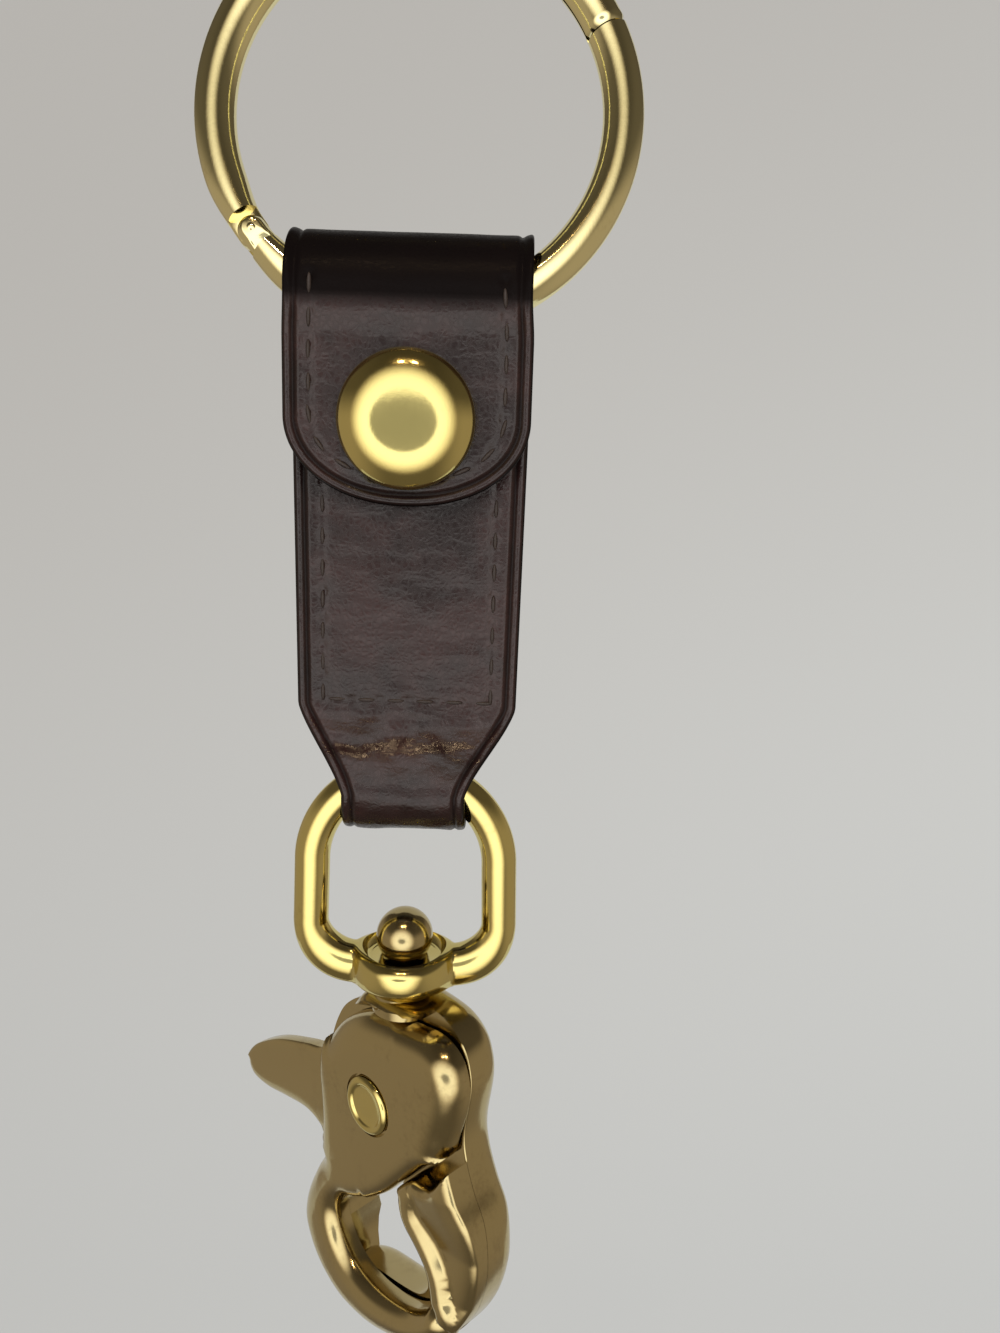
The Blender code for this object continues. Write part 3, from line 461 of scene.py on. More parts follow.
def inside(points, path):
    """Which points lie inside a closed path."""
    crossed = np.zeros(len(points), bool)
    for (x0, y0), (x1, y1) in zip(path, np.roll(path, -1, axis=0)):
        if y0 != y1:
            spans = (points[:, 1] > min(y0, y1)) & (points[:, 1] <= max(y0, y1))
            crossed ^= spans & (points[:, 0] < x0 + (points[:, 1] - y0) * (x1 - x0) / (y1 - y0))
    return crossed


def triangulated(paths, loose):
    """Triangles over closed paths and the loose points between them."""
    given = [Vector(point * 1000.0) for point in np.concatenate(paths + [loose])]
    sides = []
    first = 0
    for path in paths:
        count = len(path)
        sides += [(first + k, first + (k + 1) % count) for k in range(count)]
        first += count
    made = delaunay_2d_cdt(given, sides, [], 0, 0.00001, False)
    return np.array([tuple(v) for v in made[0]]) / 1000.0, np.array(made[2])


def plate(outline, holes, spacing, rim, steps):
    """Triangles over an outline: finer rows follow its rim, and a lattice fills the rest.
    Returns the points, the triangles and each point's distance from the outline."""
    outline = np.array(outline, float)
    holes = [np.array(hole, float) for hole in holes]
    extra = []
    side = np.roll(outline, -1, axis=0) - np.roll(outline, 1, axis=0)
    side /= np.hypot(*side.T)[:, None]
    area = np.sum(outline[:, 0] * np.roll(outline[:, 1], -1) - np.roll(outline[:, 0], -1) * outline[:, 1])
    inward = np.stack([-side[:, 1], side[:, 0]], 1) * np.sign(area)
    for k in range(1, steps + 1):
        depth = rim * (1.0 - cos(pi / 2.0 * k / steps))
        row = outline + inward * depth
        keep = inside(row, outline) & (edge_distance(row, outline) > depth * 0.985)
        row = row[keep]
        gap = max(depth * 0.18, spacing * 0.22)
        kept = []
        for point in row:
            if not kept or np.hypot(*(point - kept[-1])) > gap:
                kept.append(point)
        extra.append(np.array(kept).reshape(-1, 2))
    low, high = outline.min(0), outline.max(0)
    columns = np.arange(low[0], high[0], spacing)
    lattice = []
    for k, y in enumerate(np.arange(low[1], high[1], spacing * 0.866)):
        lattice.append(np.stack([columns + (k % 2) * spacing / 2.0, np.full(len(columns), y)], 1))
    lattice = np.concatenate(lattice)
    lattice = lattice[inside(lattice, outline)]
    lattice = lattice[edge_distance(lattice, outline) > rim + spacing * 0.45]
    extra.append(lattice)
    loose = np.concatenate(extra)
    for hole in holes:
        loose = loose[~inside(loose, hole)]
        loose = loose[edge_distance(loose, hole) > spacing * 0.4]
    points, triangles = triangulated([outline] + holes, loose)
    middles = points[triangles].mean(1)
    good = inside(middles, outline)
    for hole in holes:
        good &= ~inside(middles, hole)
    triangles = triangles[good]
    return points, triangles, edge_distance(points, outline)


def shell(bm, points, triangles, front, back):
    """Joins a front and a back sheet of points over the same triangles into a solid."""
    used = np.unique(triangles)
    tops = {k: bm.verts.new(front[k]) for k in used}
    lows = {k: bm.verts.new(back[k]) for k in used}
    sides = {}
    for a, b, c in triangles:
        bm.faces.new((tops[a], tops[b], tops[c]))
        bm.faces.new((lows[c], lows[b], lows[a]))
        for pair in ((a, b), (b, c), (c, a)):
            sides[pair] = True
    for a, b in sides:
        if (b, a) not in sides:
            bm.faces.new((tops[b], tops[a], lows[a], lows[b]))
    return tops, lows


def rounded(distance, reach, drop, power=2.0):
    """How far a face drops towards its rim, as a quarter of an ellipse; a lower power
    makes it straighter, like a chamfer with soft ends."""
    share = 1.0 - np.clip(distance / reach, 0.0, 1.0)
    return drop * (1.0 - np.clip(1.0 - share ** power, 0.0, 1.0) ** (1.0 / power))


strap_pivot = Vector((0.0, -0.00796, -0.037447))
leather_thick, mesh_gap = 0.0010, 0.00042
pressed_line, faint_line = (0.00115, 0.00026, 0.00022), (0.00115, 0.00026, 0.00001)
stud_drop, shank_hole = 0.0124, 0.0018


class Run:
    """Middle line of a strip in depth and height, with places and outward normals along it."""

    def __init__(self, rows, origin):
        self.rows = np.array(rows, float)
        steps = np.hypot(*np.diff(self.rows, axis=0).T)
        self.along = np.concatenate([[0.0], np.cumsum(steps)])
        self.length = self.along[-1]
        self.origin = origin

    def at(self, s):
        return np.stack([np.interp(s, self.along, self.rows[:, k]) for k in (0, 1)], -1)

    def out(self, s, reach=0.0005):
        run = self.at(np.minimum(s + reach, self.length)) - self.at(np.maximum(s - reach, 0.0))
        run /= np.hypot(run[..., 0], run[..., 1])[..., None]
        return np.stack([run[..., 1], -run[..., 0]], -1)

    def bend(self, points, lift):
        """Points (across, along) raised by lift, laid round the run in world metres."""
        middle = self.at(points[:, 1]) + self.out(points[:, 1]) * np.asarray(lift)[:, None]
        return np.stack([points[:, 0] + self.origin.x, middle[:, 0] + self.origin.y,
                         middle[:, 1] + self.origin.z], 1)


def wrinkle(points, scale, across):
    """Small uneven rises of hide at the points; an across below 1 draws them out sideways."""
    return np.array([noise(Vector((x * scale * across, y * scale, 3.7)))
                     + 0.5 * noise(Vector((x * scale * 2.1 * across, y * scale * 2.1, 8.1)))
                     for x, y in points])


def leather_piece(name, run, outline, holes, pressed, thick, press, relief, material, painted_shade_along=None):
    """Cut leather bent round its run: rounded edges, a pressed line inside them, and
    relief on the grain side. pressed are the parts of the outline that have that line,
    and the last argument, where given, paints shade along the run: how far the face
    takes the dark edge colour and goes matt, as painted shade."""
    edge_reach, edge_drop = 0.00036, 0.00034
    points, triangles, distance = plate(outline, holes, mesh_gap, 0.0020, 15)
    inner = np.min([edge_distance(points, side, closed=False) for side in pressed], axis=0)
    drop = rounded(distance, edge_reach, edge_drop)
    groove = np.exp(-((inner - press[0]) / press[1]) ** 2) * press[2]
    bead = -0.00010 * np.clip(1.0 - inner / press[0], 0.0, 1.0) ** 2
    lift = thick / 2.0 - drop - groove + bead + relief(points, inner) * np.clip(distance / 0.0008, 0.0, 1.0)
    bm = bmesh.new()
    edge_paint_and_shade_layer = bm.verts.layers.float.new("edge")
    worn_layer = bm.verts.layers.float.new("worn")
    front = run.bend(points, lift)
    back = run.bend(points, -thick / 2.0 + drop)
    tops, lows = shell(bm, points, triangles, front, back)
    shown = np.clip(1.25 - distance / 0.00030, 0.0, 1.0)
    wear = np.clip(groove / press[2], 0.0, 1.0) * 0.3 + np.clip(1.0 - inner / 0.0007, 0.0, 1.0)
    # Painted shade: over the fold round the ring the face is painted with the dark edge colour and made matt.
    painted_shade = painted_shade_along(points[:, 1]) if painted_shade_along else 0.0 * inner
    for k, vert in tops.items():
        # Edge paint on the rim, the darkened pressed line, and painted shade over the fold, in one attribute.
        vert[edge_paint_and_shade_layer] = max(shown[k], groove[k] / press[2] * 0.8, painted_shade[k])
        vert[worn_layer] = min(wear[k], 1.0)
    for k, vert in lows.items():
        vert[edge_paint_and_shade_layer] = shown[k]
    return mesh_piece(name, bm, material, 75.0)


def plain_relief(points, inner):
    return 0.0 * inner


def arc(middle, radius, start, turn, count):
    """Points round middle from the angle start on through turn."""
    return [(middle[0] + radius * cos(start + turn * k / count),
             middle[1] + radius * sin(start + turn * k / count)) for k in range(count + 1)]


def shank_circle(along):
    """Hole for the stud's shank on the middle of a strip."""
    return arc((0.0, along), shank_hole, 0.0, 2.0 * pi, 40)[:-1]


def eased_rows(depth_start, depth_end, start, end, count):
    """Rows of (depth, height): even steps in height, a soft run in depth."""
    return [(depth_start + (depth_end - depth_start) * ease(k / count),
             start + (end - start) * k / count) for k in range(count + 1)]


strap_mid, fold_mid, low_mid = 0.0011, 0.006156, 0.004629
strap_length, shoulder_drop, merge = 0.0528, 0.0434, 0.0076
front_top, filler_top = 0.0088, 0.0107
strap_rows = eased_rows(-strap_mid, -strap_mid, -front_top, -shoulder_drop, 8)
strap_rows += eased_rows(-strap_mid, -low_mid, -shoulder_drop, -strap_length, 24)[1:]
strap_rows += [(-low_mid * cos(pi * k / 40), -strap_length - low_mid * sin(pi * k / 40))
               for k in range(1, 40)]
strap_rows += eased_rows(low_mid, strap_mid, -strap_length, -shoulder_drop, 24)
strap_rows += eased_rows(strap_mid, strap_mid, -shoulder_drop, -merge, 8)[1:]
strap_rows += eased_rows(strap_mid, fold_mid, -merge, -0.0001, 24)[1:]
strap_run = Run(strap_rows, strap_pivot)


def strap_half(depth, height):
    """Half width of the strap where its middle line has this depth and height."""
    top_half, low_half, neck_half, neck_run = 0.0126, 0.01215, 0.0068, 0.0094
    drop = -height
    if drop <= shoulder_drop:
        half = top_half - 0.00045 * drop / shoulder_drop
    else:
        share = min((drop - shoulder_drop) / neck_run, 1.0)
        half = low_half + (neck_half - low_half) * (0.45 * share + 0.55 * ease(share))
    if drop > strap_length:
        half += 0.0001 * min((drop - strap_length) / low_mid, 1.0)
    if drop < merge and depth > 0.0:
        half -= 0.0003 * (1.0 - drop / merge)
    return half


outline_steps = 220
strap_sides = []
for k in range(outline_steps + 1):
    s = strap_run.length * k / outline_steps
    depth, height = strap_run.at(np.array(s))
    strap_sides.append((strap_half(depth, height), s))
right_side = np.array(strap_sides)
left_side = right_side * (-1.0, 1.0)
front_hole_s = stud_drop - front_top
stitch_gap = 0.0031


def straight_seam(start, end):
    """Row of stitching between two points, as points four to a stitch."""
    count = 4 * round(hypot(end[0] - start[0], end[1] - start[1]) / stitch_gap) + 1
    return np.stack([np.linspace(start[k], end[k], count) for k in (0, 1)], 1)


def dimples(points, seam, depth):
    """Where a stitch goes down into the leather at each of its ends."""
    dip = np.zeros(len(points))
    for k in range(0, len(seam), 4):
        away = np.hypot(*(points - seam[k]).T)
        dip = np.maximum(dip, np.exp(-(away / 0.00042) ** 2) * depth)
    return dip


def seam_groove(points, seam, depth):
    """Channel that the stitches lie in."""
    return np.exp(-(edge_distance(points, seam, closed=False) / 0.00038) ** 2) * depth


seam_side, seam_top_s, seam_cross_s = 0.0093, 0.0040, 0.0427 - front_top
strap_seams = [straight_seam((side * seam_side, seam_top_s), (side * seam_side, seam_cross_s))
               for side in (-1.0, 1.0)]
strap_seams.append(straight_seam((-seam_side, seam_cross_s), (seam_side, seam_cross_s)))
seam_deep, stitch_deep = 0.00010, 0.00016


def strap_relief(points, inner):
    """Creases where the strip narrows and turns, and a faint unevenness elsewhere."""
    crease_drop, crease_run, turn_drop, turn_run = 0.0470, 0.0055, 0.0505, 0.002
    height = strap_run.at(points[:, 1])[:, 1]
    bent = np.clip(1.0 - np.abs(-height - crease_drop) / crease_run, 0.0, 1.0)
    turned_round = np.clip((-height - turn_drop) / turn_run, 0.0, 1.0)
    creases = wrinkle(points, 430.0, 0.50)
    soft = wrinkle(points, 170.0, 1.0)
    sewn = np.max([seam_groove(points, seam, seam_deep) + dimples(points, seam, stitch_deep)
                   for seam in strap_seams], axis=0)
    return soft * 0.00008 + creases * (0.00036 * bent + 0.00004) + turned_round * creases * 0.00006 - sewn


strap_outline = np.concatenate([right_side, left_side[::-1]])
strap_item = leather_piece("strap_outer_leather", strap_run, strap_outline, [shank_circle(front_hole_s)],
                           [right_side, left_side], leather_thick, pressed_line, strap_relief, glazed)
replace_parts(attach(strap_item, "strap"), "strap_leather")

# Filler: a plain piece of rough hide between the two runs, cut a little narrower,
# which gives the strap its thickness. It shows only as the middle layer of the edge.
filler_thick, filler_inset = 0.00110, 0.00018
filler_run = Run(eased_rows(0.0, 0.0, -filler_top, -shoulder_drop, 8), strap_pivot)
filler_sides = np.array([(strap_half(0.0, -filler_top - s) - filler_inset, s)
                         for s in np.linspace(0.0, filler_run.length, 60)])
filler_outline = np.concatenate([filler_sides, filler_sides[::-1] * (-1.0, 1.0)])
filler_item = leather_piece("strap_inner_filler", filler_run, filler_outline,
                            [shank_circle(stud_drop - filler_top)], [filler_sides], filler_thick,
                            faint_line, plain_relief, flesh_side)
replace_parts(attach(filler_item, "strap"), "strap_filler")


# Flap: the same glazed leather with a suede lining, over the ring from the back and down
# the front to a round end. The press stud's cap is set through both.
flap_mid, loop_radius, flap_drop, flap_round = 0.0053, 0.004856, 0.0211, 0.0088


def flap_path(radius, depth_low, drop):
    rows = arc((0.0, 0.0), radius, 0.0, pi, 60)
    rows += [(-radius + (radius - depth_low) * ease(k / 16), -loop_radius * k / 16) for k in range(1, 17)]
    return rows + eased_rows(-depth_low, -depth_low, -loop_radius, -drop, 12)[1:]


def flap_side(run, half_top, half_low):
    """Right half of the flap's outline from the back of the fold to the middle of its end."""
    side = []
    fold_end = pi * hypot(*run.rows[0])
    round_start = run.length - flap_round
    for s in np.linspace(0.0, round_start, 60):
        widening = ease((s - fold_end) / loop_radius)
        side.append((half_top + (half_low - half_top) * widening, s))
    for k in range(1, 45):
        angle = pi / 2.0 * k / 45
        side.append((half_low * cos(angle) ** 0.94, round_start + (run.length - round_start) * sin(angle)))
    side.append((0.0, run.length))
    return np.array(side)


flap_run = Run(flap_path(fold_mid, flap_mid, flap_drop), strap_pivot)
flap_right = flap_side(flap_run, 0.0123, 0.0126)
flap_outline = np.concatenate([flap_right, flap_right[-2::-1] * (-1.0, 1.0)])
cap_s = flap_run.length - (flap_drop - stud_drop)


def seam_line(outline, start, end, depth, gap):
    """Row of stitching at one depth inside an outline, as points with equal gaps."""
    side = np.roll(outline, -1, axis=0) - np.roll(outline, 1, axis=0)
    side /= np.hypot(*side.T)[:, None]
    row = (outline + np.stack([-side[:, 1], side[:, 0]], 1) * depth)[start:end]
    steps = np.concatenate([[0.0], np.cumsum(np.hypot(*np.diff(row, axis=0).T))])
    count = int(steps[-1] / gap)
    places = np.linspace(0.0, steps[-1], count * 4 + 1)
    return np.stack([np.interp(places, steps, row[:, k]) for k in (0, 1)], 1)


def flap_relief(points, inner):
    """Pressed hollow round the cap, the pull of the seam, and soft folds over the ring."""
    hollow_radius, hollow_width, hollow_deep = 0.0068, 0.0011, 0.00010
    folds_s, folds_run = 0.0205, 0.0045
    to_cap = np.hypot(points[:, 0], points[:, 1] - cap_s)
    hollow = np.exp(-((to_cap - hollow_radius) / hollow_width) ** 2) * hollow_deep
    over = np.clip(1.0 - np.abs(points[:, 1] - folds_s) / folds_run, 0.0, 1.0)
    folds = wrinkle(points, 300.0, 0.35) * 0.00006 * over
    drawn_in = 1.0 - np.clip((points[:, 1] - pi * flap_mid) / 0.0050, 0.0, 1.0)
    drawn_in = np.minimum(drawn_in, np.clip(points[:, 1] / 0.0060, 0.0, 1.0))
    pull = 0.00030 * drawn_in * drawn_in * (3.0 - 2.0 * drawn_in)
    return (wrinkle(points, 150.0, 1.0) * 0.00005 + folds - hollow - pull
            - seam_groove(points, flap_seam, seam_deep) - dimples(points, flap_seam, stitch_deep))


def painted_fold_shade(along):
    """Painted shade on the fold over the ring: how far the fold takes the dark edge colour and goes matt,
    standing in for the shade and dark reflection on its top.
    """
    dark_past, dark_fade, depth = 0.0046, 0.0014, 0.97
    into = np.clip((along - 0.40 * pi * flap_mid) / 0.0030, 0.0, 1.0)
    return depth * into * np.clip((pi * flap_mid + dark_past - along) / dark_fade, 0.0, 1.0)


seam_first, seam_inset = 34, 0.0027
flap_seam = seam_line(flap_outline, seam_first, len(flap_outline) - seam_first, seam_inset, stitch_gap)
flap_item = leather_piece("flap_outer_leather", flap_run, flap_outline, [shank_circle(cap_s)],
                          [flap_right, flap_right * (-1.0, 1.0)], leather_thick, pressed_line,
                          flap_relief, glazed, painted_fold_shade)
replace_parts(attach(flap_item, "flap"), "flap_leather")

# Flap bend: a roll of the same leather along the line that the flap turns about. It
# fills the crack behind the fold when the flap is open.
bend_half, bend_radius = 0.0121, 0.00046
bend_place = (Matrix.Translation((0.0, strap_pivot.y + fold_mid, strap_pivot.z))
              @ Matrix.Rotation(radians(90.0), 4, "Y"))
bend = bmesh.new()
turned(bend, [(0.0, -bend_half), (bend_radius, -bend_half), (bend_radius, bend_half), (0.0, bend_half)],
       bend_place, 24)
bend_item = mesh_piece("flap_bend", bend, glazed)
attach(bend_item, "strap")

# Flap lining: thin suede inside the fold and behind the flap, cut a little smaller.
lining_inset, lining_thick, lining_mid = 0.0003, 0.0006, 0.0043
lining_run = Run(flap_path(loop_radius + lining_inset, lining_mid, flap_drop - lining_inset), strap_pivot)
lining_right = flap_side(lining_run, 0.0120, 0.0123)
lining_outline = np.concatenate([lining_right, lining_right[-2::-1] * (-1.0, 1.0)])
lining_hole = shank_circle(lining_run.length - (flap_drop - lining_inset - stud_drop))
lining_item = leather_piece("flap_inner_lining", lining_run, lining_outline, [lining_hole], [lining_right],
                            lining_thick, faint_line, plain_relief, flesh_side)
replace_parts(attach(lining_item, "flap"), "flap_lining")


# Sewing: waxed dark thread, one lock stitch after another in a pressed channel, round the
# flap, down both sides of the strap and once across it above the neck.
thread = bpy.data.materials.new("waxed_thread")
twine = Nodes(thread)
twist = twine.noise(twine.place(), 5200.0, 2.0, 0.5)
twine.shader("Base Color", twine.mix(twist, (0.010, 0.007, 0.006, 1.0), (0.036, 0.024, 0.020, 1.0)))
twine.shader("Roughness", 0.42 + twist * 0.2)
twine.bump(twist, 0.5, 0.00005)


def stitch_tree():
    """Node group that lays one bead of thread per stitch along a seam."""
    tree = bpy.data.node_groups.new("lock_stitches", "GeometryNodeTree")
    sizes = {"Seam": "NodeSocketGeometry", "Stitch Gap": "NodeSocketFloat",
             "Stitch Length": "NodeSocketFloat", "Thread Radius": "NodeSocketFloat",
             "Thread": "NodeSocketMaterial"}
    for name, kind in sizes.items():
        tree.interface.new_socket(name, in_out="INPUT", socket_type=kind)
    tree.interface.new_socket("Stitches", in_out="OUTPUT", socket_type="NodeSocketGeometry")

    def node(kind, settings=(), values=()):
        made = tree.nodes.new(kind)
        for key, setting in dict(settings).items():
            setattr(made, key, setting)
        for key, value in dict(values).items():
            if isinstance(value, bpy.types.NodeSocket):
                tree.links.new(value, made.inputs[key])
            else:
                made.inputs[key].default_value = value
        return made.outputs

    given = node("NodeGroupInput")
    curve = node("GeometryNodeMeshToCurve", (), {"Mesh": given["Seam"]})["Curve"]
    spaced = node("GeometryNodeResampleCurve", {"mode": "LENGTH"},
                  {"Curve": curve, "Length": given["Stitch Gap"]})["Curve"]
    outward = node("GeometryNodeInputNamedAttribute", {"data_type": "FLOAT_VECTOR"},
                   {"Name": "outward"})["Attribute"]
    along = node("GeometryNodeInputTangent")["Tangent"]
    first = node("FunctionNodeAlignRotationToVector", {"axis": "X"}, {"Vector": along})["Rotation"]
    facing = node("FunctionNodeAlignRotationToVector", {"axis": "Z", "pivot_axis": "X"},
                  {"Rotation": first, "Vector": outward})["Rotation"]
    bead = node("GeometryNodeMeshUVSphere", (), {"Segments": 12, "Rings": 10, "Radius": 1.0})["Mesh"]
    size = node("ShaderNodeCombineXYZ", (), {"X": given["Stitch Length"], "Y": given["Thread Radius"],
                                             "Z": given["Thread Radius"]})["Vector"]
    placed = node("GeometryNodeInstanceOnPoints", (), {"Points": spaced, "Instance": bead,
                                                       "Rotation": facing, "Scale": size})["Instances"]
    real = node("GeometryNodeRealizeInstances", (), {"Geometry": placed})["Geometry"]
    smooth = node("GeometryNodeSetShadeSmooth", (), {"Geometry": real})["Geometry"]
    dyed = node("GeometryNodeSetMaterial", (), {"Geometry": smooth, "Material": given["Thread"]})["Geometry"]
    node("NodeGroupOutput", (), {"Stitches": dyed})
    return tree


def shaped(item):
    """Mesh of an object as its modifiers leave it."""
    return bpy.data.meshes.new_from_object(item.evaluated_get(bpy.context.evaluated_depsgraph_get()))


def sew(name, rows, body):
    """Stitches along rows of (run, seam points, lift), as one plain mesh on its body."""
    bm = bmesh.new()
    outward = bm.verts.layers.float_vector.new("outward")
    for run, seam, lift in rows:
        places = run.bend(seam[2:-1], np.full(len(seam) - 3, lift))
        facing = run.out(seam[2:-1, 1])
        previous = None
        for place, (depth, height) in zip(places, facing):
            vert = bm.verts.new(place)
            vert[outward] = (0.0, depth, height)
            if previous is not None:
                bm.edges.new((previous, vert))
            previous = vert
    path = linked(name + "_path", mesh_from(name + "_path", bm))
    modifier = path.modifiers.new("stitches", "NODES")
    modifier.node_group = stitches
    sockets = {item.name: item.identifier for item in stitches.interface.items_tree if item.in_out == "INPUT"}
    for key, value in (("Stitch Gap", stitch_gap), ("Stitch Length", 0.00098), ("Thread Radius", 0.00024),
                       ("Thread", thread)):
        modifier[sockets[key]] = value
    made = shaped(path)
    bpy.data.objects.remove(path)
    made.name = name
    item = linked(name, made)
    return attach(item, body)


stitches = stitch_tree()
stitch_lift = 0.00036
sew("flap_stitches", [(flap_run, flap_seam, stitch_lift)], "flap")
sew("strap_stitches", [(strap_run, seam, stitch_lift) for seam in strap_seams], "strap")


# Press stud: a domed brass cap with a rolled edge and its shank, set into the flap. The
# post has a low domed head at the back. Socket and stud keep their turned shapes.
stud_place = Matrix.Translation((0.0, -0.00796, -0.049847)) @ to_front
cap_radius, cap_flat, cap_roll, stud_shank = 0.0070, 0.0067, 0.0003, 0.0015
cap_profile = [(0.0, 0.00430), (stud_shank, 0.00430), (stud_shank, 0.00595), (cap_flat, 0.00595)]
cap_profile += [(cap_flat + cap_roll * sin(pi / 2.0 * k / 6), 0.00625 - cap_roll * cos(pi / 2.0 * k / 6))
                for k in range(1, 7)]
for k in range(49):
    radius = cap_radius * cos(pi / 2.0 * k / 48)
    bent = min(max((radius - 0.0030) / 0.0040, 0.0), 1.0)
    height = 0.00895 - radius * radius / 0.090 - 0.00186 * (1.0 - sqrt(1.0 - bent * bent))
    cap_profile.append((radius, height))
cap = bmesh.new()
turned(cap, cap_profile, stud_place, 128)
cap_item = mesh_piece("stud_cap_dome", cap, polished)
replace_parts(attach(cap_item, "flap"), "stud_cap")
for name in ("stud_socket", "stud_base"):
    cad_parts[name].material_slots[0].material = polished
post = bmesh.new()
post_profile = [(0.0, -0.00185), (0.0020, -0.00181), (0.0034, -0.00171), (0.0040, -0.00160),
                (0.0043, -0.00142), (0.0043, -0.00110), (stud_shank, -0.00106), (stud_shank, 0.00180),
                (0.0, 0.00180)]
turned(post, softened(post_profile, 0.00012), stud_place, 96)
post_item = mesh_piece("stud_post_head", post, polished)
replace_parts(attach(post_item, "strap"), "stud_post")


# Swivel eye: a cast and polished brass bow. Its bottom bar swells into a round boss with
# a dished seat, which the shank of the hook turns in.
eye_pivot = Vector((0.0, -0.00796, -0.090247))
arch_z, bottom_z, arch_radius, eye_half, corner = -0.009669, -0.022469, 0.0109, 0.0111, 0.0055
boss_top, boss_low, ball_z = -0.020269, -0.024869, -0.018869


def eye_middle():
    """Middle line of the bow as (across, height), once round."""
    points = arc((0.0, arch_z), arch_radius, 0.0, pi, 80)
    low = bottom_z + corner
    points += [(-arch_radius - 0.0002 * k / 16, arch_z + (low - arch_z) * k / 16) for k in range(1, 16)]
    points += arc((-eye_half + corner, low), corner, pi, pi / 2.0, 24)
    reach = eye_half - corner
    points += [(-reach + 2.0 * reach * k / 60, bottom_z) for k in range(1, 60)]
    points += arc((reach, low), corner, -pi / 2.0, pi / 2.0, 24)
    return points + [(arch_radius + 0.0002 * (1.0 - k / 16), low + (arch_z - low) * k / 16)
                     for k in range(1, 16)]


bar_half, boss_radius = 0.00205, 0.0060
eye = bmesh.new()
middle = eye_middle()
eye_loops = []
for i, (x, z) in enumerate(middle):
    after, before = middle[(i + 1) % len(middle)], middle[i - 1]
    run = Vector((after[0] - before[0], after[1] - before[1])).normalized()
    share = ease((bottom_z + corner - z) / corner)
    tall = bar_half + 0.00045 * share
    swell = sqrt(max(boss_radius ** 2 - x * x, 0.0)) if z < bottom_z + 0.0012 else 0.0
    deep = (bar_half ** 5 + swell ** 5) ** 0.2
    power = 2.0 / (2.0 + 1.1 * min(swell / boss_radius, 1.0) + 0.25 * share)
    loop = []
    for k in range(48):
        angle = 2.0 * pi * k / 48
        a, b = cos(angle), sin(angle)
        radial = tall * abs(a) ** power * (1.0 if a > 0.0 else -1.0)
        beside = deep * abs(b) ** power * (1.0 if b > 0.0 else -1.0)
        loop.append(eye_pivot + Vector((x - run.y * radial, beside, z + run.x * radial)))
    eye_loops.append(loop)
skin(eye, eye_loops, closed=True)
eye_item = mesh_piece("swivel_eye_bow", eye, polished)


def cut(item, name, bm):
    """Takes the closed cutter bm away from a piece."""
    bmesh.ops.recalc_face_normals(bm, faces=bm.faces)
    tool = linked(name, mesh_from(name, bm))
    modifier = item.modifiers.new(name, "BOOLEAN")
    modifier.operation, modifier.solver, modifier.object = "DIFFERENCE", "EXACT", tool
    made = shaped(item)
    item.modifiers.clear()
    material = item.data.materials[0]
    item.data = made
    made.materials.clear()
    made.materials.append(material)
    bpy.data.objects.remove(tool)


seat_radius, bore_radius = 0.0036, 0.00205
seat_angle = acos(bore_radius / seat_radius)
dish_profile = [(0.0, boss_low - 0.001), (bore_radius, boss_low - 0.001),
                (bore_radius, ball_z - seat_radius * sin(seat_angle))]
dish_profile += arc((0.0, ball_z), seat_radius, -seat_angle, seat_angle * 0.20, 8)[1:]
dish_profile += softened([dish_profile.pop(), (0.0043, boss_top - 0.0011), (0.0048, boss_top - 0.0004),
                          (0.0052, boss_top + 0.0012)], 0.0003)
dish_profile += [(0.0, boss_top + 0.0012)]
dish = bmesh.new()
turned(dish, dish_profile, Matrix.Translation(eye_pivot), 72)
cut(eye_item, "dish_tool", dish)
eye_item.data.shade_smooth()
eye_item.data.set_sharp_from_angle(angle=radians(45.0))
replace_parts(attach(eye_item, "eye"), "swivel_eye")


# Snap hook: two brass castings riveted through their heads, browned by handling. The
# fixed half carries the shank, its ball and the spine; the lever half has the thumb lever.
worn = brass_finish("handled_brass", (0.56, 0.46, 0.23), (0.36, 0.27, 0.13), 0.12, 0.30)
hook_turn = Matrix.Rotation(radians(-43.0), 4, "Z")
swivel_place = Matrix.Translation(eye_pivot + Vector((0.0, 0.0, ball_z))) @ hook_turn
rivet_place = swivel_place @ Matrix.Translation((-0.0012, 0.0, -0.0212))
unit, head_radius, half_thick, part_depth, lap_open = 0.0100, 0.0120, 0.0046, 0.0009, 0.00015
lap_middle, lap_radius, curve_gap = (0.0006, -0.0172), 0.0172 / 6.0, 0.00034


def on_head(degrees, radius=head_radius):
    """Point round the rivet."""
    return (radius * cos(radians(degrees)), radius * sin(radians(degrees)))


def on_lap(degrees, radius):
    """Point round the upper end of the opening."""
    return (lap_middle[0] + radius * cos(radians(degrees)), lap_middle[1] + radius * sin(radians(degrees)))


def curved(pairs, steps=7):
    """Closed smooth curve through shares of the outline's unit, with even gaps."""
    points = np.array(pairs, float) * unit
    before, after, beyond = (np.roll(points, k, axis=0) for k in (1, -1, -2))
    made = []
    for k in range(steps):
        t = k / steps
        made.append(0.5 * (2.0 * points + (after - before) * t
                           + (2.0 * before - 5.0 * points + 4.0 * after - beyond) * t * t
                           + (3.0 * points - before - 3.0 * after + beyond) * t ** 3))
    curve = np.stack(made, 1).reshape(-1, 2)
    gaps = np.hypot(*(np.roll(curve, -1, axis=0) - curve).T)
    total = np.concatenate([[0.0], np.cumsum(gaps)])
    looped = np.concatenate([curve, curve[:1]])
    even = np.linspace(0.0, total[-1], int(total[-1] / curve_gap), endpoint=False)
    return np.stack([np.interp(even, total, looped[:, k]) for k in (0, 1)], 1)


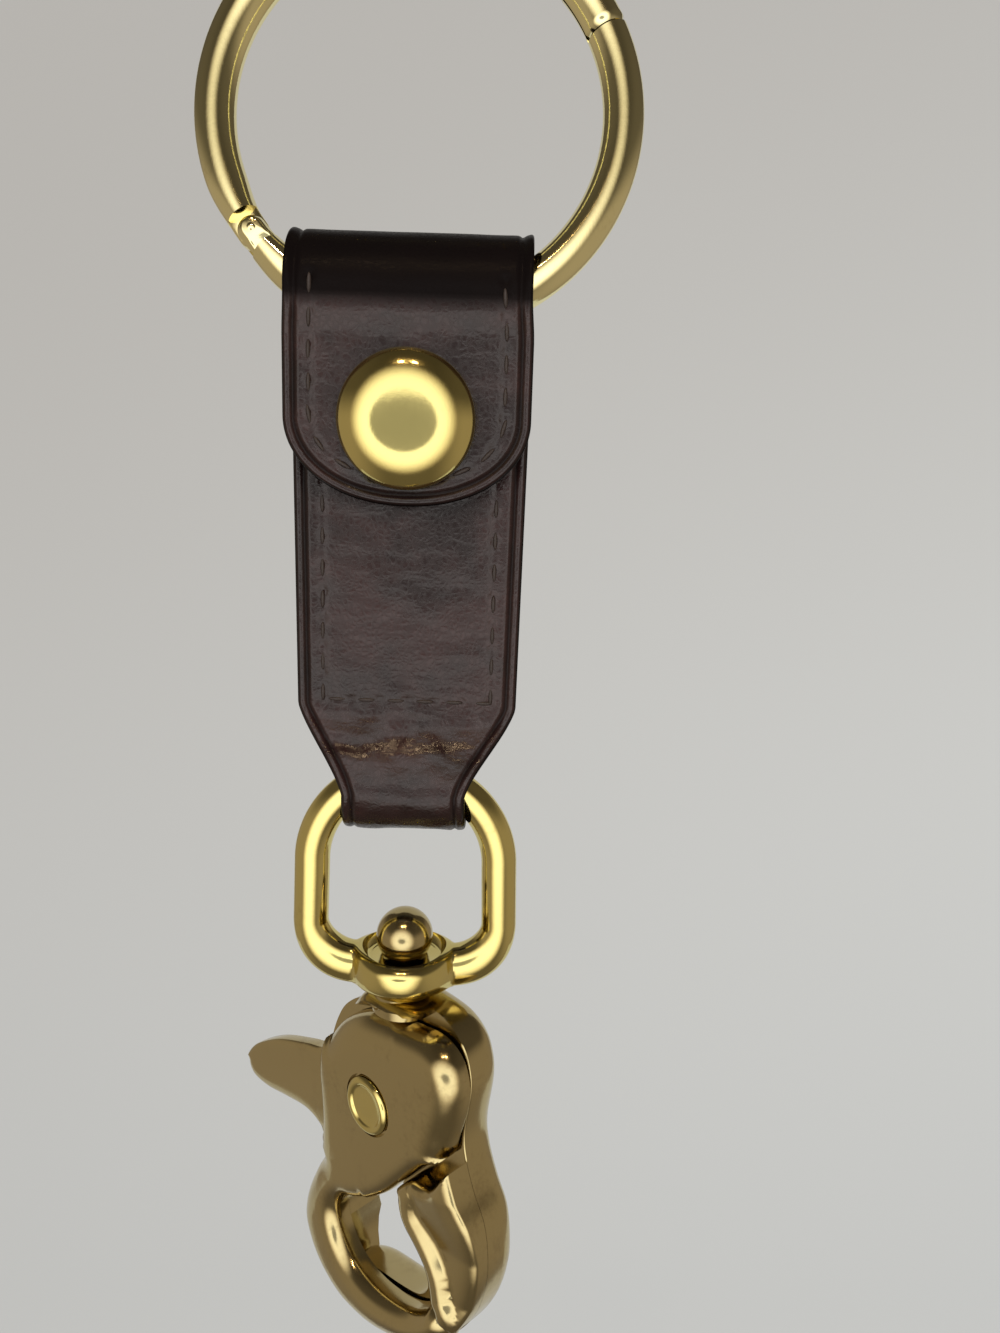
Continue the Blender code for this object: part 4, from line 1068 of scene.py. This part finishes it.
def stretch(outline, start, end):
    """Part of a closed outline between its points nearest to start and to end."""
    first, last = (int(np.argmin(np.hypot(*(outline - np.array(point) * unit).T))) for point in (start, end))
    return np.roll(outline, -first, axis=0)[:(last - first) % len(outline) + 1]


def overlap(first, second):
    """Outline of what lies inside both closed paths."""
    paths = [np.array(first, float), np.array(second, float)]
    points, triangles = triangulated(paths, np.zeros((0, 2)))
    middles = points[triangles].mean(1)
    kept = triangles[inside(middles, paths[0]) & inside(middles, paths[1])]
    sides = {(t[k], t[(k + 1) % 3]) for t in kept for k in range(3)}
    after = {a: b for a, b in sides if (b, a) not in sides}
    loops = []
    while after:
        loop = [next(iter(after))]
        while loop[-1] in after:
            loop.append(after.pop(loop[-1]))
        loops.append(loop[:-1])
    return points[max(loops, key=len)]


def casting(bm, loop, low, high, front=(), back=()):
    """Plate over a loop from depth low to high, rounded off towards the sides listed
    for its front and its back as (side, reach, drop)."""
    points, triangles, _ = plate(loop, [], mesh_gap, 0.0040, 11)
    falls = []
    for sides in (front, back):
        fall = np.zeros(len(points))
        for side, reach, drop, *power in sides:
            fall = np.maximum(fall, rounded(edge_distance(points, side, closed=False), reach, drop, *power))
        falls.append(fall)
    tops = (high(points) if callable(high) else high) - falls[0]
    lows = low + falls[1]
    shell(bm, points, triangles, [rivet_place @ Vector((x, -z, y)) for (x, y), z in zip(points, tops)],
          [rivet_place @ Vector((x, -z, y)) for (x, y), z in zip(points, lows)])


lever_outline = curved([
    (1.26, 0.10), (1.37, 0.48), (1.39, 0.80), (1.27, 1.08), (1.00, 1.23), (0.56, 1.20), (0.10, 1.13),
    (-0.33, 1.00), (-0.70, 0.76), (-0.96, 0.44), (-1.12, 0.19), (-1.49, 0.07), (-2.07, -0.14),
    (-2.49, -0.37), (-2.76, -0.58), (-2.91, -0.84), (-2.76, -1.05), (-2.42, -1.09), (-1.95, -1.02),
    (-1.50, -0.97), (-1.19, -1.06), (-1.06, -1.27), (-1.25, -1.62), (-1.43, -2.02), (-1.49, -2.37),
    (-1.41, -2.65), (-1.24, -2.92), (-0.99, -3.14), (-0.68, -3.29), (-0.33, -3.34), (0.05, -3.31),
    (0.50, -3.17), (0.90, -2.96), (1.22, -2.70), (1.33, -2.46), (1.27, -2.25), (1.10, -2.19),
    (0.92, -2.38), (0.66, -2.57), (0.30, -2.68), (-0.08, -2.70), (-0.42, -2.60), (-0.66, -2.38),
    (-0.78, -2.10), (-0.74, -1.86), (-0.58, -1.68), (-0.36, -1.58), (-0.14, -1.45), (0.06, -1.30),
    (0.28, -1.10), (0.56, -0.78), (0.86, -0.44), (1.16, -0.20)])
fixed_outline = curved([(0.50, 1.45), (0.06, 1.45), (-0.20, 1.40)]
                       + [on_head(a, 1.2) for a in (112, 128, 146, 172, 198, 224, 248, 268, 284)] + [
    (0.44, -1.46), (0.46, -1.70), (0.56, -1.94), (0.69, -2.16), (0.72, -2.38), (0.56, -2.56),
    (0.22, -2.65), (-0.12, -2.70), (-0.46, -2.76), (-0.72, -2.88), (-0.79, -2.99), (-0.68, -3.09),
    (-0.42, -3.18), (0.02, -3.26), (0.46, -3.19), (0.90, -2.98), (1.30, -2.56), (1.57, -2.10),
    (1.70, -1.62), (1.70, -1.22), (1.63, -0.88), (1.46, -0.58), (1.32, -0.24), (1.28, 0.08),
    (1.36, 0.64), (1.33, 0.94), (1.20, 1.20), (0.92, 1.39)])
cheek_side = stretch(lever_outline, (1.16, -0.20), (0.30, 1.17))
crown_side = stretch(lever_outline, (0.30, 1.17), (-0.96, 0.44))
thumb_side = stretch(lever_outline, (-1.12, 0.19), (-1.19, -1.06))
arm_side = stretch(lever_outline, (-1.06, -1.27), (1.10, -2.19))
bore_side = stretch(lever_outline, (1.10, -2.19), (-0.14, -1.45))
low_side = stretch(lever_outline, (-0.14, -1.45), (1.16, -0.20))
lap_front, lap_back = part_depth + lap_open, part_depth - lap_open

# Lever half: its cheek and arm, the arm's thicker back as far as the lap, and the thumb.
far = 0.052
throat = [on_head(a, 0.0108) for a in range(146, 194, 3)]
throat += [(-0.0103, -0.0046), (-0.0101, -0.0068), (-0.0101, -0.0090), (-0.0103, -0.0110),
           (-0.0109, -0.0126), (-0.0117, -0.0140)]
thumb_part = overlap(lever_outline, throat + [(-far, -0.030), (-far, 0.030)])
cheek_part = overlap(lever_outline, throat + [(-0.0150, -0.0150), (-far, -far), (far, -far), (far, far),
                                              (-0.0122, far)])
cheek_bm = bmesh.new()
casting(cheek_bm, cheek_part, lap_front, half_thick,
        [(cheek_side, 0.0034, 0.0034), (crown_side, 0.0038, 0.0031), (np.array(throat), 0.0024, 0.0019),
         (arm_side, 0.0036, 0.0033), (bore_side, 0.0024, 0.0022), (low_side, 0.0019, 0.0018)],
        [(cheek_side, 0.0003, 0.0002), (low_side, 0.0003, 0.0002)])
lever_item = mesh_piece("lever_cheek_casting", cheek_bm, worn)
arm_reach = [on_head(a, head_radius + 0.0003) for a in range(228, 262, 3)]
arm_reach += [on_lap(226.0, lap_radius), (-0.0076, -0.0220), (-0.0080, -0.0240), (-0.0085, -0.0262),
              (-0.0086, -0.0286), (-0.0079, -0.0306), (-0.0100, -0.0335), (-0.0300, -0.0418)]
lever_rest = bmesh.new()
casting(lever_rest, overlap(lever_outline, arm_reach), -half_thick, lap_front + 0.00005, (),
        [(arm_side, 0.0030, 0.0032), (thumb_side, 0.0030, 0.0032), (bore_side, 0.0014, 0.0012)])
thumb_under = stretch(lever_outline, (-2.91, -0.84), (-1.19, -1.06))
casting(lever_rest, thumb_part, lap_front, half_thick - 0.0015,
        [(thumb_side, 0.0007, 0.0005), (thumb_under, 0.0017, 0.0019)], [(thumb_side, 0.0004, 0.0003)])

# Fixed half: its back with the spine and bow, the raised arm beside the cheek with a
# ridge along its inner side, and the raised shoulder under the neck.
raised = curved([
    (1.12, -2.19), (1.04, -2.08), (1.01, -1.92), (0.94, -1.71), (0.77, -1.53), (0.61, -1.40), (0.50, -1.26),
    (0.45, -1.11), (0.44, -0.98), (0.50, -0.88), (0.60, -0.78), (0.72, -0.70), (0.86, -0.68), (1.00, -0.63),
    (1.11, -0.52), (1.21, -0.38), (1.34, -0.24), (1.60, -0.10), (1.95, -0.30), (2.10, -1.20), (2.00, -2.20),
    (1.75, -2.42), (1.47, -2.31), (1.28, -2.25)])
ridge_side = stretch(raised, (1.12, -2.19), (0.44, -0.98))
raised_top = stretch(raised, (0.44, -0.98), (1.34, -0.24))
raised_foot = stretch(raised, (1.47, -2.31), (1.12, -2.19))
outer_side = stretch(fixed_outline, (0.90, -2.98), (1.32, -0.24))
spine_side = stretch(fixed_outline, (1.32, -0.24), (1.20, 1.20))


def ridged(points):
    """Depth of the raised arm: a ridge along its bore, a hollow, then the outer side."""
    ridge_wide, ridge_fall, hollow_deep = 0.0017, 0.0018, 0.0013
    from_bore = edge_distance(points, ridge_side, closed=False)
    along = 1.0 - np.clip((from_bore - ridge_wide) / ridge_fall, 0.0, 1.0)
    below_top = np.clip((-0.0060 - points[:, 1]) / 0.0070, 0.0, 1.0)
    above_foot = np.clip((points[:, 1] + 0.0245) / 0.0050, 0.0, 1.0)
    return half_thick - rounded(along, 1.0, hollow_deep) * (below_top * above_foot)


back_bm = bmesh.new()
casting(back_bm, fixed_outline, -half_thick, lap_back, [(spine_side, 0.0003, 0.0002)],
        [(np.vstack([fixed_outline, fixed_outline[:1]]), 0.0024, 0.0028)])
fixed_item = mesh_piece("fixed_back_casting", back_bm, worn)
fixed_rest = bmesh.new()
casting(fixed_rest, overlap(fixed_outline, raised), lap_back - 0.0001, ridged,
        [(ridge_side, 0.0021, 0.0028), (raised_top, 0.0012, 0.0012), (raised_foot, 0.0008, 0.0008),
         (outer_side, 0.0030, 0.0012)])
shoulder = np.array([(0.80, 1.60), (0.66, 1.33), (0.10, 1.22), (-0.36, 1.11), (-0.60, 1.11),
                     (-0.60, 1.60)]) * unit
shoulder_part = overlap(fixed_outline, shoulder)
casting(fixed_rest, shoulder_part, lap_back - 0.0001, half_thick,
        [(np.vstack([shoulder_part, shoulder_part[:1]]), 0.0016, 0.0026)])

# Rivet bore: a wide mouth at each face for the heads, and the spring's pocket in the middle.
rivet_axis = rivet_place @ to_front
bore_half = [(0.0, 0.0056), (0.0039, 0.0056), (0.0039, 0.0041), (0.00245, 0.0041), (0.00245, 0.0023),
             (0.0062, 0.0023)]
bore_profile = [(radius, -height) for radius, height in bore_half] + bore_half[::-1]
for item in (lever_item, fixed_item):
    bore = bmesh.new()
    turned(bore, bore_profile, rivet_axis, 64)
    cut(item, "rivet_bore_tool", bore)


def joined(name, item, bm):
    """One object from a bored casting and the rest of its half."""
    bm.from_mesh(item.data)
    bpy.data.objects.remove(item)
    return mesh_piece(name, bm, worn, 42.0)


# Shank of the fixed half: the neck's flange, the turned shank and the ball on its end.
shank_radius, ball_radius = 0.0018, 0.00335
shank_profile = [(0.0, -0.0092), (0.0038, -0.0092), (0.0038, -0.0067), (0.0034, -0.0064),
                 (shank_radius, -0.0063)]
shank_low = acos(shank_radius / ball_radius)
shank_profile += arc((0.0, 0.0), ball_radius, -shank_low, shank_low + pi / 2.0, 40)[:-1]
shank_profile.append((0.0, ball_radius))
turned(fixed_rest, shank_profile, swivel_place, 72)
fixed_item = joined("fixed_half_casting", fixed_item, fixed_rest)
lever_item = joined("lever_half_casting", lever_item, lever_rest)
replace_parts(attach(fixed_item, "hook"), "hook_fixed_half")
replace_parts(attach(lever_item, "lever"), "hook_lever_half")

# Rivet: headed brass pin with a dimple in each head, sunk a little into both castings.
rivet_half = [(0.0, 0.00478), (0.0016, 0.00474), (0.0024, 0.00478), (0.0027, 0.00505), (0.0031, 0.00515),
              (0.0036, 0.00480), (0.0036, 0.00425), (0.0022, 0.00425)]
rivet_half = softened(rivet_half, 0.00025)
rivet = bmesh.new()
turned(rivet, [(radius, -height) for radius, height in rivet_half] + rivet_half[::-1], rivet_axis, 72)
rivet_item = mesh_piece("rivet_heads", rivet, polished)
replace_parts(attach(rivet_item, "hook"), "hook_rivet")

# Spring: round steel wire coiled about the rivet inside its pocket. It keeps its own shape.
steel = bpy.data.materials.new("spring_wire")
wire = Nodes(steel)
drawn = wire.noise(wire.place(), 2400.0, 3.0, 0.6)
wire.shader("Base Color", wire.mix(drawn, (0.36, 0.35, 0.33, 1.0), (0.56, 0.55, 0.52, 1.0)))
wire.shader("Metallic", 1.0)
wire.shader("Roughness", 0.28 + drawn * 0.15)
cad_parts["hook_spring"].material_slots[0].material = steel
